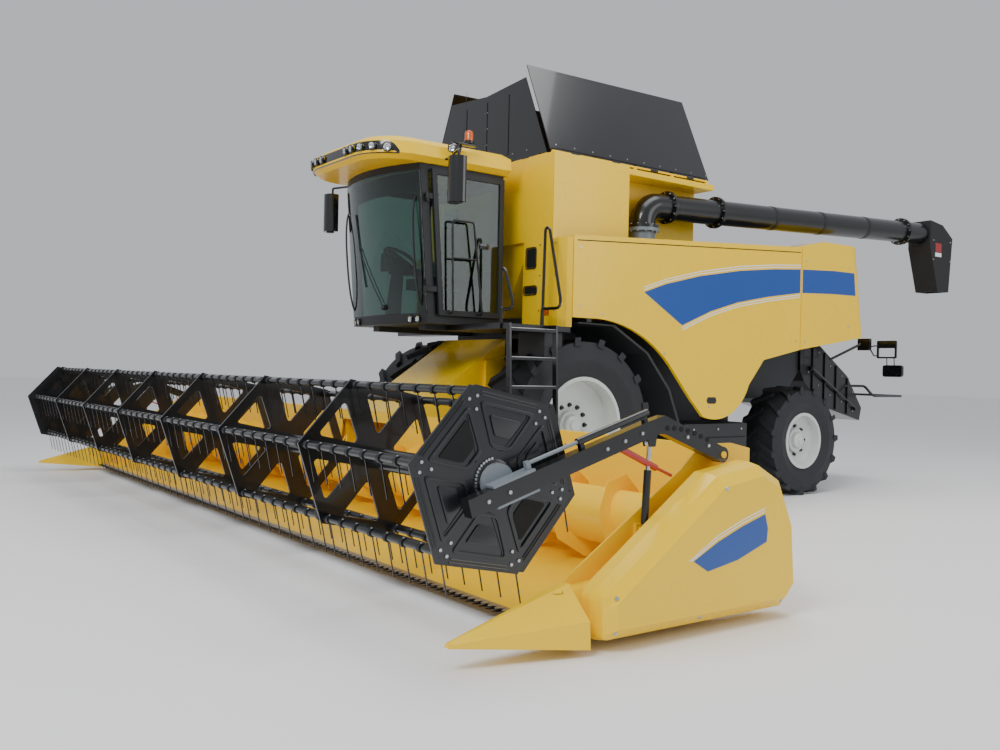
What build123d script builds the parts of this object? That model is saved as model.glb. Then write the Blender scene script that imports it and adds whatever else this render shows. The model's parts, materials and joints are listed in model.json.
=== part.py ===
"""A combine harvester with its grain header, parked with the header down.

All sizes are in millimetres. X runs across the machine with its left side positive, Y runs
backwards and Z up. The origin is on the ground in the middle of the whole outline, and every
length along the machine below is measured backwards from the front axle.
"""
import os
from math import cos, hypot, radians, sin, tan

from build123d import *

os.makedirs("parts", exist_ok=True)

# whole machine
FRONT_AXLE_Y = -1550.0
WHEELBASE = 4000.0
SEAT_GAP = 0.3
PIN_GAP = 0.05

# wheels
FRONT_TYRE_RADIUS = 1004.0
FRONT_TYRE_WIDTH = 700.0
FRONT_RIM_RADIUS = 533.0
FRONT_WHEEL_X = 1300.0
FRONT_LUGS = 17
REAR_TYRE_RADIUS = 744.0
REAR_TYRE_WIDTH = 560.0
REAR_RIM_RADIUS = 356.0
REAR_WHEEL_X = 1370.0
REAR_LUGS = 15
LUG_HEIGHT = 52.0
RIM_WALL = 14.0
RIM_LIP = 27.0
STUB_RADIUS = 70.0
STUB_LENGTH = 150.0

# axles and steering
AXLE_BEAM_HALF = 140.0
DRIVE_HOUSING_RADIUS = 230.0
KINGPIN_X = 1010.0
KINGPIN_RADIUS = 40.0
KNUCKLE_HEIGHT = 300.0
YOKE_THICK = 50.0
YOKE_RADIUS = 70.0
STEER_ARM = 260.0
TIE_PIN_RADIUS = 15.0
TIE_ROD_RADIUS = 24.0

# body
BODY_HALF = 1650.0
PANEL_THICK = 45.0
HULL_HALF = 780.0
HULL_FRONT = -150.0
HULL_REAR = 4950.0
HULL_TOP = 2250.0
SHOULDER_Z = 3130.0
SHOULDER_RISE = 340.0
PANEL_FRONT = -250.0
PANEL_REAR = 3800.0
HOOD_REAR = 5320.0
SEAM_GAP = 12.0
SKIN = 40.0
BEAM = 70.0
DECK_DROP = 60.0
DECK_THICK = 20.0

# grain tank and its covers
TANK_HALF = 1400.0
TANK_FRONT = -350.0
TANK_REAR = 2400.0
TANK_TOP = 4080.0
TANK_WALL = 25.0
TANK_NECK_HALF = 450.0
RECESS_X = 960.0
RECESS_FRONT = 800.0
LEDGE_HALF = 1300.0
LEDGE_DEPTH = 70.0
COVER_HINGE_X = 1255.0
COVER_LENGTH = COVER_HINGE_X - 10
COVER_LEAN = 24.0
COVER_THICK = 12.0
COVER_PIN_RADIUS = 12.0
COVER_FRONT = -295.0
COVER_REAR = 2345.0
FLAP_THICK = 8.0
FLAP_HEIGHT = 960.0
FLAP_HALF = 1215.0
FLAP_PIN_RADIUS = 7.0
FLAP_FRONT_Y = -312.0
FLAP_REAR_Y = 2362.0
FLAP_AXIS_Z = TANK_TOP + 12.0
COVER_AXIS_Z = TANK_TOP + 40.0
FILL_PIPE_RADIUS = 150.0

# cab
CAB_HALF = 850.0
CAB_FRONT = -1760.0
CAB_REAR = -650.0
CAB_FLOOR = 2110.0
CAB_CEILING = 3830.0
CAB_TUCK = 130.0
WINDSCREEN_BULGE = 210.0
FOOT_BULGE = 110.0
PILLAR = 70.0
PILLAR_DEPTH = 100.0
SILL = 110.0
GLASS = 8.0
ROOF_HALF = 950.0
ROOF_TOP = 4080.0
ROOF_FRONT = -2360.0
ROOF_CORNER = 520.0
ROOF_WAIST = 55.0
ROOF_LAMP_RADIUS = 42.0
ROOF_LAMP_Z = 3950.0
ROOF_REAR = -615.0
DOOR_THICK = 40.0
DOOR_STILE = 60.0
DOOR_FRONT = -1640.0
DOOR_PIN_RADIUS = 12.0
HINGE_HEIGHTS = (2450, 3450)
MIRROR_X = 1450.0
MIRROR_Y = -1665.0
MIRROR_RADIUS = 108.0

# platform and ladder
PLATFORM_OUT = 1640.0
PLATFORM_IN = 600.0
PLATFORM_FRONT = -1230.0
PLATFORM_REAR = -370.0
PLATFORM_THICK = 60.0
RAIL_RADIUS = 17.0
LADDER_X = 1720.0
LADDER_WIDTH = 620.0
LADDER_BOTTOM = 480.0

# unloading tube
TUBE_PIVOT_X = 1190.0
TUBE_PIVOT_Y = 1230.0
TUBE_RADIUS = 160.0
TUBE_Z = 3690.0
TUBE_BEND = 230.0
TUBE_REACH = 5750.0
TUBE_RISE = 2.2
TUBE_REST_YAW = 3.0
TURRET_TOP = 3400.0
FLANGE_RADIUS = 205.0
FLANGE_THICK = 40.0
SPOUT_DROP = 900.0

# feeder house and its lift
FEEDER_HALF = 640.0
FEEDER_PIVOT_Y = -250.0
FEEDER_PIVOT_Z = 1750.0
FEEDER_PIN_RADIUS = 40.0
FEEDER_FRONT = -1745.0
FEEDER_WALL = 12.0
LIFT_X = 560.0
LIFT_BASE_Y = -230.0
LIFT_BASE_Z = 760.0
LIFT_EYE_Y = -1330.0
LIFT_EYE_Z = 430.0
LIFT_BARREL_RADIUS = 55.0
LIFT_PIN_RADIUS = 22.0
LIFT_EYE_HALF = 35.0
LIFT_ROD_RADIUS = 32.0
LIFT_BARREL_LENGTH = 700.0
LIFT_ROD_FOOT = 96.0
LIFT_EYE_DRIFT = 17.0

# header
CUT_HALF = 5335.0
SHEET = 15.0
HEADER_BACK = -1760.0
HEADER_TOP = 1110.0
KNIFE_Y = -3400.0
KNIFE_Z = 95.0
GUARD_PITCH = 76.2
GUARD_REACH = 110.0
KNIFE_STROKE = 38.1
KNIFE_THICK = 6.0
AUGER_Y = -2290.0
AUGER_Z = 560.0
AUGER_TUBE_RADIUS = 205.0
AUGER_RADIUS = 325.0
TROUGH_GAP = 25.0
AUGER_SHAFT_RADIUS = 35.0
FLIGHT_PITCH = 560.0
FLIGHT_THICK = 8.0
FLIGHT_START = 430.0
FLIGHT_STEPS = 8
FINGER_RADIUS = 8.0
FINGER_REACH = 318.0
DIVIDER_TIP_Y = -4290.0
DIVIDER_TIP_Z = 150.0
DIVIDER_TIP_X = 5430.0
COVER_OUT = 5700.0
COVER_STEP = 88.0
COVER_CORNER = 50.0

# reel
REEL_Y = -3856.0
REEL_Z = 984.0
REEL_RADIUS = 530.0
REEL_HALF = 5310.0
REEL_BAYS = 7
REEL_BARS = 6
REEL_PHASE = 48.4
REEL_TUBE_RADIUS = 75.0
SPIDER_THICK = 20.0
SPIDER_BOSS = 44.0
BAR_RADIUS = 20.0
TINE_LENGTH = 250.0
TINE_WIDTH = 7.0
TINES_PER_BAY = 8
TINE_RAKE = 12.0
REEL_SHAFT_RADIUS = 25.0
ECCENTRIC_OFFSET = 60.0
CRANK_PIN_RADIUS = 9.0
CRANK_THICK = 8.0
SHIELD_THICK = 10.0
ECCENTRIC_RADIUS = 105.0
WINDOW_CORNER = 24.0
POCKET_DEPTH = 4.0

# reel arms and their cylinders
ARM_X = 5375.0
ARM_WIDTH = 75.0
ARM_DEPTH = 105.0
ARM_PIVOT_Y = -2150.0
ARM_PIVOT_Z = 1085.0
ARM_BEND_Y = -2760.0
ARM_BEND_Z = 1285.0
ARM_FRONT_Y = -4170.0
ARM_PIN_RADIUS = 22.0
SLIDE_TRAVEL = 340.0
CARRIAGE_LENGTH = 300.0
REEL_LIFT_BASE_Y = -2830.0
REEL_LIFT_BASE_Z = 640.0
REEL_LIFT_EYE_Y = -2800.0
REEL_LIFT_EYE_Z = 1180.0
REEL_BARREL_RADIUS = 24.0
REEL_ROD_RADIUS = 14.0
REEL_BARREL_LENGTH = 370.0
REEL_ROD_FOOT = 115.0
REEL_EYE_DRIFT = 6.0
REEL_EYE_HALF = 14.0
REEL_PIN_RADIUS = 11.0
SLIDE_RADIUS = 22.0
SLIDE_ROD_RADIUS = 12.0
ARM_SLOPE = 16.8


def at(x, y, z):
    """A point whose length along the machine is measured from the front axle."""
    return Vector(x, FRONT_AXLE_Y + y, z)


def side(x):
    """The upright plane at a width, drawn with (backwards, up)."""
    return Plane(origin=at(x, 0, 0), x_dir=(0, 1, 0), z_dir=(1, 0, 0))


def front(y):
    """The upright plane across the machine, drawn with (left, up); it faces forwards."""
    return Plane(origin=at(0, y, 0), x_dir=(1, 0, 0), z_dir=(0, -1, 0))


def level(z):
    """The flat plane at a height, drawn with (left, backwards)."""
    return Plane(origin=at(0, 0, z))


def slab(plane, points, amount, mode=Mode.ADD):
    """A straight-sided outline drawn on a plane and pulled to its thickness."""
    with BuildSketch(plane) as outline:
        with BuildLine():
            Polyline(*points, close=True)
        make_face()
    extrude(outline.sketch, amount=amount, mode=mode)


def block(xs, ys, zs, mode=Mode.ADD):
    """A block between its low and high sides."""
    middle = at(sum(xs) / 2, sum(ys) / 2, sum(zs) / 2)
    with Locations(middle):
        Box(abs(xs[1] - xs[0]), abs(ys[1] - ys[0]), abs(zs[1] - zs[0]), mode=mode)


def bar(start, end, radius, mode=Mode.ADD):
    """A round bar between two points."""
    low = at(*start)
    run = at(*end) - low
    with BuildSketch(Plane(origin=low, z_dir=run)) as section:
        Circle(radius)
    extrude(section.sketch, amount=run.length, mode=mode)


def bent_bar(points, radius, bend):
    """A round bar that follows straight runs joined by bends."""
    with BuildLine(mode=Mode.PRIVATE) as path:
        FilletPolyline(*[at(*point) for point in points], radius=bend)
    with BuildSketch(path.line ^ 0) as section:
        Circle(radius)
    sweep(section.sketch, path=path.line)


def placed(shape, plane):
    """A finished shape set on a plane."""
    with BuildPart(plane) as copy:
        add(shape)
    return copy.part


def save(piece, name):
    """Names a finished piece and writes its file."""
    piece.label = name
    export_step(piece, f"parts/{name}.step")


def tyre(radius, width, rim_radius, lugs):
    """A field tyre about the Z axis with two rows of slanting lugs."""
    tread = radius - LUG_HEIGHT
    belly = (rim_radius + tread) / 2
    lip = rim_radius + RIM_LIP + SEAT_GAP
    lug_width = 0.085 * radius
    with BuildPart() as lug:
        with BuildSketch(Plane(origin=(tread - LUG_HEIGHT, 0, 0), x_dir=(0, 1, 0), z_dir=(1, 0, 0))):
            with BuildLine():
                Polyline(
                    (-0.13 * radius, 0.02 * width),
                    (-0.13 * radius + lug_width, 0.02 * width),
                    (0.10 * radius + lug_width, 0.47 * width),
                    (0.10 * radius, 0.47 * width),
                    close=True,
                )
            make_face()
        extrude(amount=3 * LUG_HEIGHT)
        Cylinder(radius, 2 * width, mode=Mode.INTERSECT)
    with BuildPart() as other_lug:
        add(mirror(lug.part, about=Plane.XY, mode=Mode.PRIVATE))
    with BuildPart() as body:
        with BuildSketch(Plane.XZ):
            with BuildLine():
                Polyline(
                    (rim_radius, 0.40 * width),
                    (lip, 0.40 * width),
                    (belly, 0.50 * width),
                    (tread, 0.44 * width),
                    (tread, -0.44 * width),
                    (belly, -0.50 * width),
                    (lip, -0.40 * width),
                    (rim_radius, -0.40 * width),
                    close=True,
                )
            make_face()
        revolve(axis=Axis.Z)
        with PolarLocations(0, lugs):
            add(lug.part)
        with PolarLocations(0, lugs, start_angle=180 / lugs):
            add(other_lug.part)
    return body.part


def rim(rim_radius, width, dish):
    """A wheel rim about the Z axis with its dished centre, hub boss and stub shaft."""
    edge = 0.40 * width
    seat = rim_radius - SEAT_GAP
    inner = seat - RIM_WALL
    lip = rim_radius + RIM_LIP
    hub = 2.3 * STUB_RADIUS
    with BuildPart() as body:
        with BuildSketch(Plane.XZ):
            with BuildLine():
                Polyline(
                    (0, dish + 55),
                    (hub, dish + 55),
                    (hub, dish),
                    (inner, dish + 60),
                    (inner, edge + RIM_WALL),
                    (lip, edge + RIM_WALL),
                    (lip, edge + SEAT_GAP),
                    (seat, edge + SEAT_GAP),
                    (seat, -edge - SEAT_GAP),
                    (lip, -edge - SEAT_GAP),
                    (lip, -edge - RIM_WALL),
                    (inner, -edge - RIM_WALL),
                    (inner, dish + 60 - RIM_WALL),
                    (hub, dish - RIM_WALL),
                    (STUB_RADIUS, dish - RIM_WALL),
                    (STUB_RADIUS, dish - RIM_WALL - STUB_LENGTH),
                    (0, dish - RIM_WALL - STUB_LENGTH),
                    close=True,
                )
            make_face()
        revolve(axis=Axis.Z)
    return body.part


# wheels, each with its tyre; the dished side faces outwards
FRONT_DISH = 20.0
REAR_DISH = 60.0
front_tyre = tyre(FRONT_TYRE_RADIUS, FRONT_TYRE_WIDTH, FRONT_RIM_RADIUS, FRONT_LUGS)
front_rim = rim(FRONT_RIM_RADIUS, FRONT_TYRE_WIDTH, FRONT_DISH)
rear_tyre = tyre(REAR_TYRE_RADIUS, REAR_TYRE_WIDTH, REAR_RIM_RADIUS, REAR_LUGS)
rear_rim = rim(REAR_RIM_RADIUS, REAR_TYRE_WIDTH, REAR_DISH)
for sign, name in ((1, "left"), (-1, "right")):
    for pair, across, back, high, tyre_shape, rim_shape in (
        ("front", FRONT_WHEEL_X, 0, FRONT_TYRE_RADIUS, front_tyre, front_rim),
        ("rear", REAR_WHEEL_X, WHEELBASE, REAR_TYRE_RADIUS, rear_tyre, rear_rim),
    ):
        wheel = Plane(origin=at(sign * across, back, high), x_dir=(0, 0, 1), z_dir=(sign, 0, 0))
        save(placed(tyre_shape, wheel), f"{pair}_tyre_{name}")
        save(placed(rim_shape, wheel), f"{pair}_rim_{name}")

# front axle: a beam with a final drive at each end, open for the wheel's stub
with BuildPart() as front_axle:
    block(
        (-HULL_HALF - 100, HULL_HALF + 100),
        (-AXLE_BEAM_HALF, AXLE_BEAM_HALF),
        (FRONT_TYRE_RADIUS - AXLE_BEAM_HALF, FRONT_TYRE_RADIUS + AXLE_BEAM_HALF),
    )
    drive_face = FRONT_WHEEL_X + FRONT_DISH - RIM_WALL - SEAT_GAP
    for sign in (1, -1):
        bar(
            (sign * (HULL_HALF + 60), 0, FRONT_TYRE_RADIUS),
            (sign * drive_face, 0, FRONT_TYRE_RADIUS),
            DRIVE_HOUSING_RADIUS,
        )
        bar(
            (sign * (drive_face - STUB_LENGTH - 10), 0, FRONT_TYRE_RADIUS),
            (sign * drive_face, 0, FRONT_TYRE_RADIUS),
            STUB_RADIUS + PIN_GAP,
            mode=Mode.SUBTRACT,
        )
        # cheeks and pins of the lift cylinders, under the beam
        for inner in (LIFT_X - LIFT_EYE_HALF - 25, LIFT_X + LIFT_EYE_HALF + 5):
            block(
                (sign * inner, sign * (inner + 20)),
                (LIFT_BASE_Y - 45, 0),
                (LIFT_BASE_Z - 45, FRONT_TYRE_RADIUS - AXLE_BEAM_HALF),
            )
        bar(
            (sign * (LIFT_X - LIFT_EYE_HALF - 20), LIFT_BASE_Y, LIFT_BASE_Z),
            (sign * (LIFT_X + LIFT_EYE_HALF + 20), LIFT_BASE_Y, LIFT_BASE_Z),
            LIFT_PIN_RADIUS,
        )
save(front_axle.part, "front_axle")

# rear axle: a cranked beam with a yoke at each end for the steering knuckle
KNUCKLE_LOW = REAR_TYRE_RADIUS - KNUCKLE_HEIGHT / 2
KNUCKLE_HIGH = REAR_TYRE_RADIUS + KNUCKLE_HEIGHT / 2
with BuildPart() as rear_axle:
    block(
        (-KINGPIN_X + 130, KINGPIN_X - 130),
        (WHEELBASE - 90, WHEELBASE + 90),
        (REAR_TYRE_RADIUS - 10, REAR_TYRE_RADIUS + 190),
    )
    for sign in (1, -1):
        block(
            (sign * (KINGPIN_X - 150), sign * (KINGPIN_X - 110)),
            (WHEELBASE - 90, WHEELBASE + 90),
            (KNUCKLE_LOW - YOKE_THICK, KNUCKLE_HIGH + YOKE_THICK),
        )
        for low in (KNUCKLE_LOW - YOKE_THICK, KNUCKLE_HIGH):
            block(
                (sign * (KINGPIN_X - 130), sign * KINGPIN_X),
                (WHEELBASE - YOKE_RADIUS, WHEELBASE + YOKE_RADIUS),
                (low, low + YOKE_THICK),
            )
            yoke_end = ((sign * KINGPIN_X, WHEELBASE, low), (sign * KINGPIN_X, WHEELBASE, low + YOKE_THICK))
            bar(*yoke_end, YOKE_RADIUS)
        bar(
            (sign * KINGPIN_X, WHEELBASE, KNUCKLE_LOW - YOKE_THICK - 1),
            (sign * KINGPIN_X, WHEELBASE, KNUCKLE_HIGH + YOKE_THICK + 1),
            KINGPIN_RADIUS + PIN_GAP,
            mode=Mode.SUBTRACT,
        )
    # the pivot post that carries the machine on the axle
    block((-200, 200), (WHEELBASE - 80, WHEELBASE + 80), (REAR_TYRE_RADIUS + 100, 1300))
save(rear_axle.part, "rear_axle")

# steering knuckles: a block on its kingpin with the hub bore and the steering arm
TIE_Y = WHEELBASE + STEER_ARM
for sign, name in ((1, "left"), (-1, "right")):
    knuckle_face = REAR_WHEEL_X + REAR_DISH - RIM_WALL - SEAT_GAP
    with BuildPart() as knuckle:
        bar(
            (sign * KINGPIN_X, WHEELBASE, KNUCKLE_LOW + SEAT_GAP),
            (sign * KINGPIN_X, WHEELBASE, KNUCKLE_HIGH - SEAT_GAP),
            80,
        )
        bar(
            (sign * KINGPIN_X, WHEELBASE, KNUCKLE_LOW - YOKE_THICK),
            (sign * KINGPIN_X, WHEELBASE, KNUCKLE_HIGH + YOKE_THICK),
            KINGPIN_RADIUS,
        )
        bar(
            (sign * KINGPIN_X, WHEELBASE, REAR_TYRE_RADIUS),
            (sign * knuckle_face, WHEELBASE, REAR_TYRE_RADIUS),
            110,
        )
        block(
            (sign * (KINGPIN_X - 30), sign * (KINGPIN_X + 30)),
            (WHEELBASE, TIE_Y + 30),
            (KNUCKLE_LOW + 5, KNUCKLE_LOW + 45),
        )
        bar(
            (sign * KINGPIN_X, TIE_Y, KNUCKLE_LOW - 60),
            (sign * KINGPIN_X, TIE_Y, KNUCKLE_LOW + 20),
            TIE_PIN_RADIUS,
        )
        bar(
            (sign * (knuckle_face - STUB_LENGTH - 10), WHEELBASE, REAR_TYRE_RADIUS),
            (sign * knuckle_face, WHEELBASE, REAR_TYRE_RADIUS),
            STUB_RADIUS + PIN_GAP,
            mode=Mode.SUBTRACT,
        )
    save(knuckle.part, f"knuckle_{name}")

# tie rod between the steering arms; its right eye is the one opened for the linkage
with BuildPart() as tie_rod:
    eye_low = KNUCKLE_LOW - 50
    eye_high = KNUCKLE_LOW - 5
    rod_z = KNUCKLE_LOW - 28
    bar((-KINGPIN_X + 20, TIE_Y, rod_z), (KINGPIN_X - 20, TIE_Y, rod_z), TIE_ROD_RADIUS)
    for sign in (1, -1):
        bar((sign * KINGPIN_X, TIE_Y, eye_low), (sign * KINGPIN_X, TIE_Y, eye_high), 36)
        bar(
            (sign * KINGPIN_X, TIE_Y, eye_low - 1),
            (sign * KINGPIN_X, TIE_Y, eye_high + 1),
            TIE_PIN_RADIUS + PIN_GAP,
            mode=Mode.SUBTRACT,
        )
save(tie_rod.part, "tie_rod")

# hull: the threshing body between the wheels, with the mouth for the feeder house
with BuildPart() as hull:
    slab(
        side(-HULL_HALF),
        [
            (HULL_FRONT, HULL_TOP),
            (HULL_FRONT, FRONT_TYRE_RADIUS + AXLE_BEAM_HALF),
            (700, FRONT_TYRE_RADIUS + AXLE_BEAM_HALF),
            (900, 760),
            (2700, 760),
            (3000, 1300),
            (4600, 1300),
            (HULL_REAR, 1700),
            (HULL_REAR, HULL_TOP),
        ],
        2 * HULL_HALF,
    )
    # the mouth behind the feeder house
    block((-600, 600), (HULL_FRONT - 1, 500), (1320, 2000), mode=Mode.SUBTRACT)
    # brackets under the cab
    for sign in (1, -1):
        block(
            (sign * 460, sign * (PLATFORM_IN - SEAT_GAP)),
            (CAB_FRONT + 260, HULL_FRONT + 1),
            (CAB_FLOOR - PLATFORM_THICK, CAB_FLOOR),
        )
    # cheeks and stub shafts that carry the feeder house
    for sign in (1, -1):
        slab(
            side(sign * (FEEDER_HALF + 70)),
            [
                (FEEDER_PIVOT_Y - 80, FEEDER_PIVOT_Z - 80),
                (FEEDER_PIVOT_Y - 80, FEEDER_PIVOT_Z + 80),
                (HULL_FRONT, FEEDER_PIVOT_Z + 200),
                (HULL_FRONT, FEEDER_PIVOT_Z - 200),
            ],
            sign * 50,
        )
        bar(
            (sign * (FEEDER_HALF + 5), FEEDER_PIVOT_Y, FEEDER_PIVOT_Z),
            (sign * (FEEDER_HALF + 100), FEEDER_PIVOT_Y, FEEDER_PIVOT_Z),
            FEEDER_PIN_RADIUS,
        )
save(hull.part, "hull")

# front panels beside the cab and the frame that carries the tank and the side panels
def panel_top(back):
    """Height of the side panels' upper edge, which rises to the rear."""
    return SHOULDER_Z + SHOULDER_RISE * (back - PANEL_FRONT) / (HOOD_REAR - PANEL_FRONT)


with BuildPart() as upper_frame:
    beam_out = BODY_HALF - PANEL_THICK - SEAT_GAP
    for sign in (1, -1):
        # the long rail under the side panel's hinge
        slab(
            side(sign * beam_out),
            [
                (PANEL_FRONT + 40, panel_top(PANEL_FRONT) - 110),
                (PANEL_FRONT + 40, panel_top(PANEL_FRONT) - 30),
                (PANEL_REAR + 500, panel_top(PANEL_REAR + 500) - 30),
                (PANEL_REAR + 500, panel_top(PANEL_REAR + 500) - 110),
            ],
            -sign * BEAM,
        )
        for back, outer in (
            (0, beam_out),
            (2520, beam_out),
            (PANEL_REAR + 40, BODY_HALF - SKIN - SEAT_GAP),
        ):
            top = panel_top(back) - 60
            block(
                (sign * HULL_HALF, sign * (beam_out - BEAM / 2)),
                (back, back + BEAM),
                (HULL_TOP - BEAM, HULL_TOP),
            )
            block(
                (sign * (beam_out - BEAM), sign * outer),
                (back, back + BEAM),
                (HULL_TOP - BEAM, top),
            )
    # decks between the tank and the side panels, and over the engine
    rail_in = beam_out - BEAM
    deck_front = TANK_FRONT + BEAM
    recess_back = RECESS_FRONT + SEAT_GAP
    engine_deck = TANK_REAR + SEAT_GAP
    for across, width, start, end in (
        (-rail_in - 1, rail_in + 1 - TANK_HALF - SEAT_GAP, deck_front, engine_deck + 1),
        (TANK_HALF + SEAT_GAP, rail_in + 1 - TANK_HALF - SEAT_GAP, deck_front, recess_back + 1),
        (RECESS_X + SEAT_GAP, rail_in + 1 - RECESS_X - SEAT_GAP, recess_back, engine_deck + 1),
        (-rail_in - 1, 2 * rail_in + 2, engine_deck, PANEL_REAR + BEAM / 2),
    ):
        slab(
            side(across),
            [
                (start, panel_top(start) - DECK_DROP - DECK_THICK),
                (start, panel_top(start) - DECK_DROP),
                (end, panel_top(end) - DECK_DROP),
                (end, panel_top(end) - DECK_DROP - DECK_THICK),
            ],
            width,
        )
    bar(
        (TUBE_PIVOT_X, TUBE_PIVOT_Y, SHOULDER_Z - SKIN),
        (TUBE_PIVOT_X, TUBE_PIVOT_Y, TURRET_TOP),
        TUBE_RADIUS + SEAM_GAP,
        mode=Mode.SUBTRACT,
    )
save(upper_frame.part, "upper_frame")

# grain tank: an open bin with sloping hopper sides, stepped in on the left for the unloading tube
with BuildPart() as grain_tank:
    wall = TANK_WALL
    slab(
        level(SHOULDER_Z - wall),
        [
            (-TANK_HALF, TANK_FRONT),
            (TANK_HALF, TANK_FRONT),
            (TANK_HALF, RECESS_FRONT),
            (RECESS_X, RECESS_FRONT),
            (RECESS_X, TANK_REAR),
            (-TANK_HALF, TANK_REAR),
        ],
        TANK_TOP - SHOULDER_Z + wall,
    )
    hopper_front = TANK_FRONT + SKIN + SEAT_GAP
    slab(
        front(hopper_front),
        [
            (-TANK_HALF, SHOULDER_Z),
            (RECESS_X, SHOULDER_Z),
            (TANK_NECK_HALF, HULL_TOP),
            (-TANK_NECK_HALF, HULL_TOP),
        ],
        hopper_front - TANK_REAR,
    )
    slab(
        level(SHOULDER_Z),
        [
            (-TANK_HALF + wall, TANK_FRONT + wall),
            (TANK_HALF - wall, TANK_FRONT + wall),
            (TANK_HALF - wall, RECESS_FRONT - wall),
            (RECESS_X - wall, RECESS_FRONT - wall),
            (RECESS_X - wall, TANK_REAR - wall),
            (-TANK_HALF + wall, TANK_REAR - wall),
        ],
        TANK_TOP,
        mode=Mode.SUBTRACT,
    )
    left_wall = wall * hypot(RECESS_X - TANK_NECK_HALF, SHOULDER_Z - HULL_TOP) / (SHOULDER_Z - HULL_TOP)
    right_wall = wall * hypot(TANK_HALF - TANK_NECK_HALF, SHOULDER_Z - HULL_TOP) / (SHOULDER_Z - HULL_TOP)
    slab(
        front(hopper_front + wall),
        [
            (-TANK_HALF + right_wall, SHOULDER_Z + 1),
            (RECESS_X - left_wall, SHOULDER_Z + 1),
            (TANK_NECK_HALF - left_wall, HULL_TOP + wall),
            (-TANK_NECK_HALF + right_wall, HULL_TOP + wall),
        ],
        hopper_front - TANK_REAR + 2 * wall,
        mode=Mode.SUBTRACT,
    )
    # the ledge over the unloading tube carries the left cover's hinge
    block((RECESS_X - wall, LEDGE_HALF), (RECESS_FRONT - wall, TANK_REAR), (TANK_TOP - LEDGE_DEPTH, TANK_TOP))
    # rims that carry the other stretches of the covers' hinges
    rim_inner = COVER_HINGE_X - 20
    block((rim_inner, TANK_HALF), (TANK_FRONT, RECESS_FRONT), (TANK_TOP - 30, TANK_TOP))
    block((-TANK_HALF, -rim_inner), (TANK_FRONT, TANK_REAR), (TANK_TOP - 30, TANK_TOP))
    # hinge rods of the side covers and of the end flaps
    for sign in (1, -1):
        bar(
            (sign * COVER_HINGE_X, COVER_FRONT + 20, COVER_AXIS_Z),
            (sign * COVER_HINGE_X, COVER_REAR - 20, COVER_AXIS_Z),
            COVER_PIN_RADIUS,
        )
        for part_way in (0.0, 0.25, 0.5, 0.75, 1.0):
            back = COVER_FRONT + 40 + part_way * (COVER_REAR - COVER_FRONT - 80)
            block(
                (sign * (COVER_HINGE_X - 14), sign * (COVER_HINGE_X + 14)),
                (back - 20, back + 20),
                (TANK_TOP - 5, COVER_AXIS_Z),
            )
    for back in (FLAP_FRONT_Y, FLAP_REAR_Y):
        bar((-FLAP_HALF, back, FLAP_AXIS_Z), (FLAP_HALF, back, FLAP_AXIS_Z), FLAP_PIN_RADIUS)
        wall_low = TANK_FRONT if back < 0 else TANK_REAR - wall
        for across in (-0.9, -0.45, 0, 0.45, 0.9):
            block(
                (across * FLAP_HALF - 20, across * FLAP_HALF + 20),
                (min(back - 6, wall_low), max(back + 6, wall_low + wall)),
                (FLAP_AXIS_Z - 16, FLAP_AXIS_Z - 4),
            )
            block(
                (across * FLAP_HALF - 20, across * FLAP_HALF + 20),
                (back - 6, back + 6),
                (FLAP_AXIS_Z - 10, FLAP_AXIS_Z),
            )
save(grain_tank.part, "grain_tank")

# side covers of the tank, raised and leaning inwards
for sign, name in ((1, "left"), (-1, "right")):
    lean = radians(COVER_LEAN)
    with BuildPart() as cover:
        up = Vector(-sign * sin(lean), 0, cos(lean))
        sheet = Plane(
            origin=at(sign * COVER_HINGE_X, 0, COVER_AXIS_Z),
            x_dir=(0, 1, 0),
            z_dir=Vector(0, 1, 0).cross(up),
        )
        with BuildSketch(sheet.offset(-COVER_THICK / 2)) as outline:
            with BuildLine():
                Polyline(
                    (COVER_FRONT, COVER_PIN_RADIUS + 2),
                    (COVER_REAR, COVER_PIN_RADIUS + 2),
                    (COVER_REAR, COVER_LENGTH),
                    (COVER_FRONT, COVER_LENGTH - 60),
                    close=True,
                )
            make_face()
        extrude(outline.sketch, amount=COVER_THICK)
        for part_way in (0.125, 0.375, 0.625, 0.875):
            back = COVER_FRONT + 40 + part_way * (COVER_REAR - COVER_FRONT - 80)
            bar(
                (sign * COVER_HINGE_X, back - 60, COVER_AXIS_Z),
                (sign * COVER_HINGE_X, back + 60, COVER_AXIS_Z),
                COVER_PIN_RADIUS + 7,
            )
        bar(
            (sign * COVER_HINGE_X, COVER_FRONT - 1, COVER_AXIS_Z),
            (sign * COVER_HINGE_X, COVER_REAR + 1, COVER_AXIS_Z),
            COVER_PIN_RADIUS + PIN_GAP,
            mode=Mode.SUBTRACT,
        )
        for part_way in (0.0, 0.25, 0.5, 0.75, 1.0):
            back = COVER_FRONT + 40 + part_way * (COVER_REAR - COVER_FRONT - 80)
            with Locations(Location(at(sign * COVER_HINGE_X, back, COVER_AXIS_Z), (90, 0, 0))):
                Cylinder(COVER_PIN_RADIUS + 20, 56, mode=Mode.SUBTRACT)
    save(cover.part, f"tank_cover_{name}")

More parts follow.
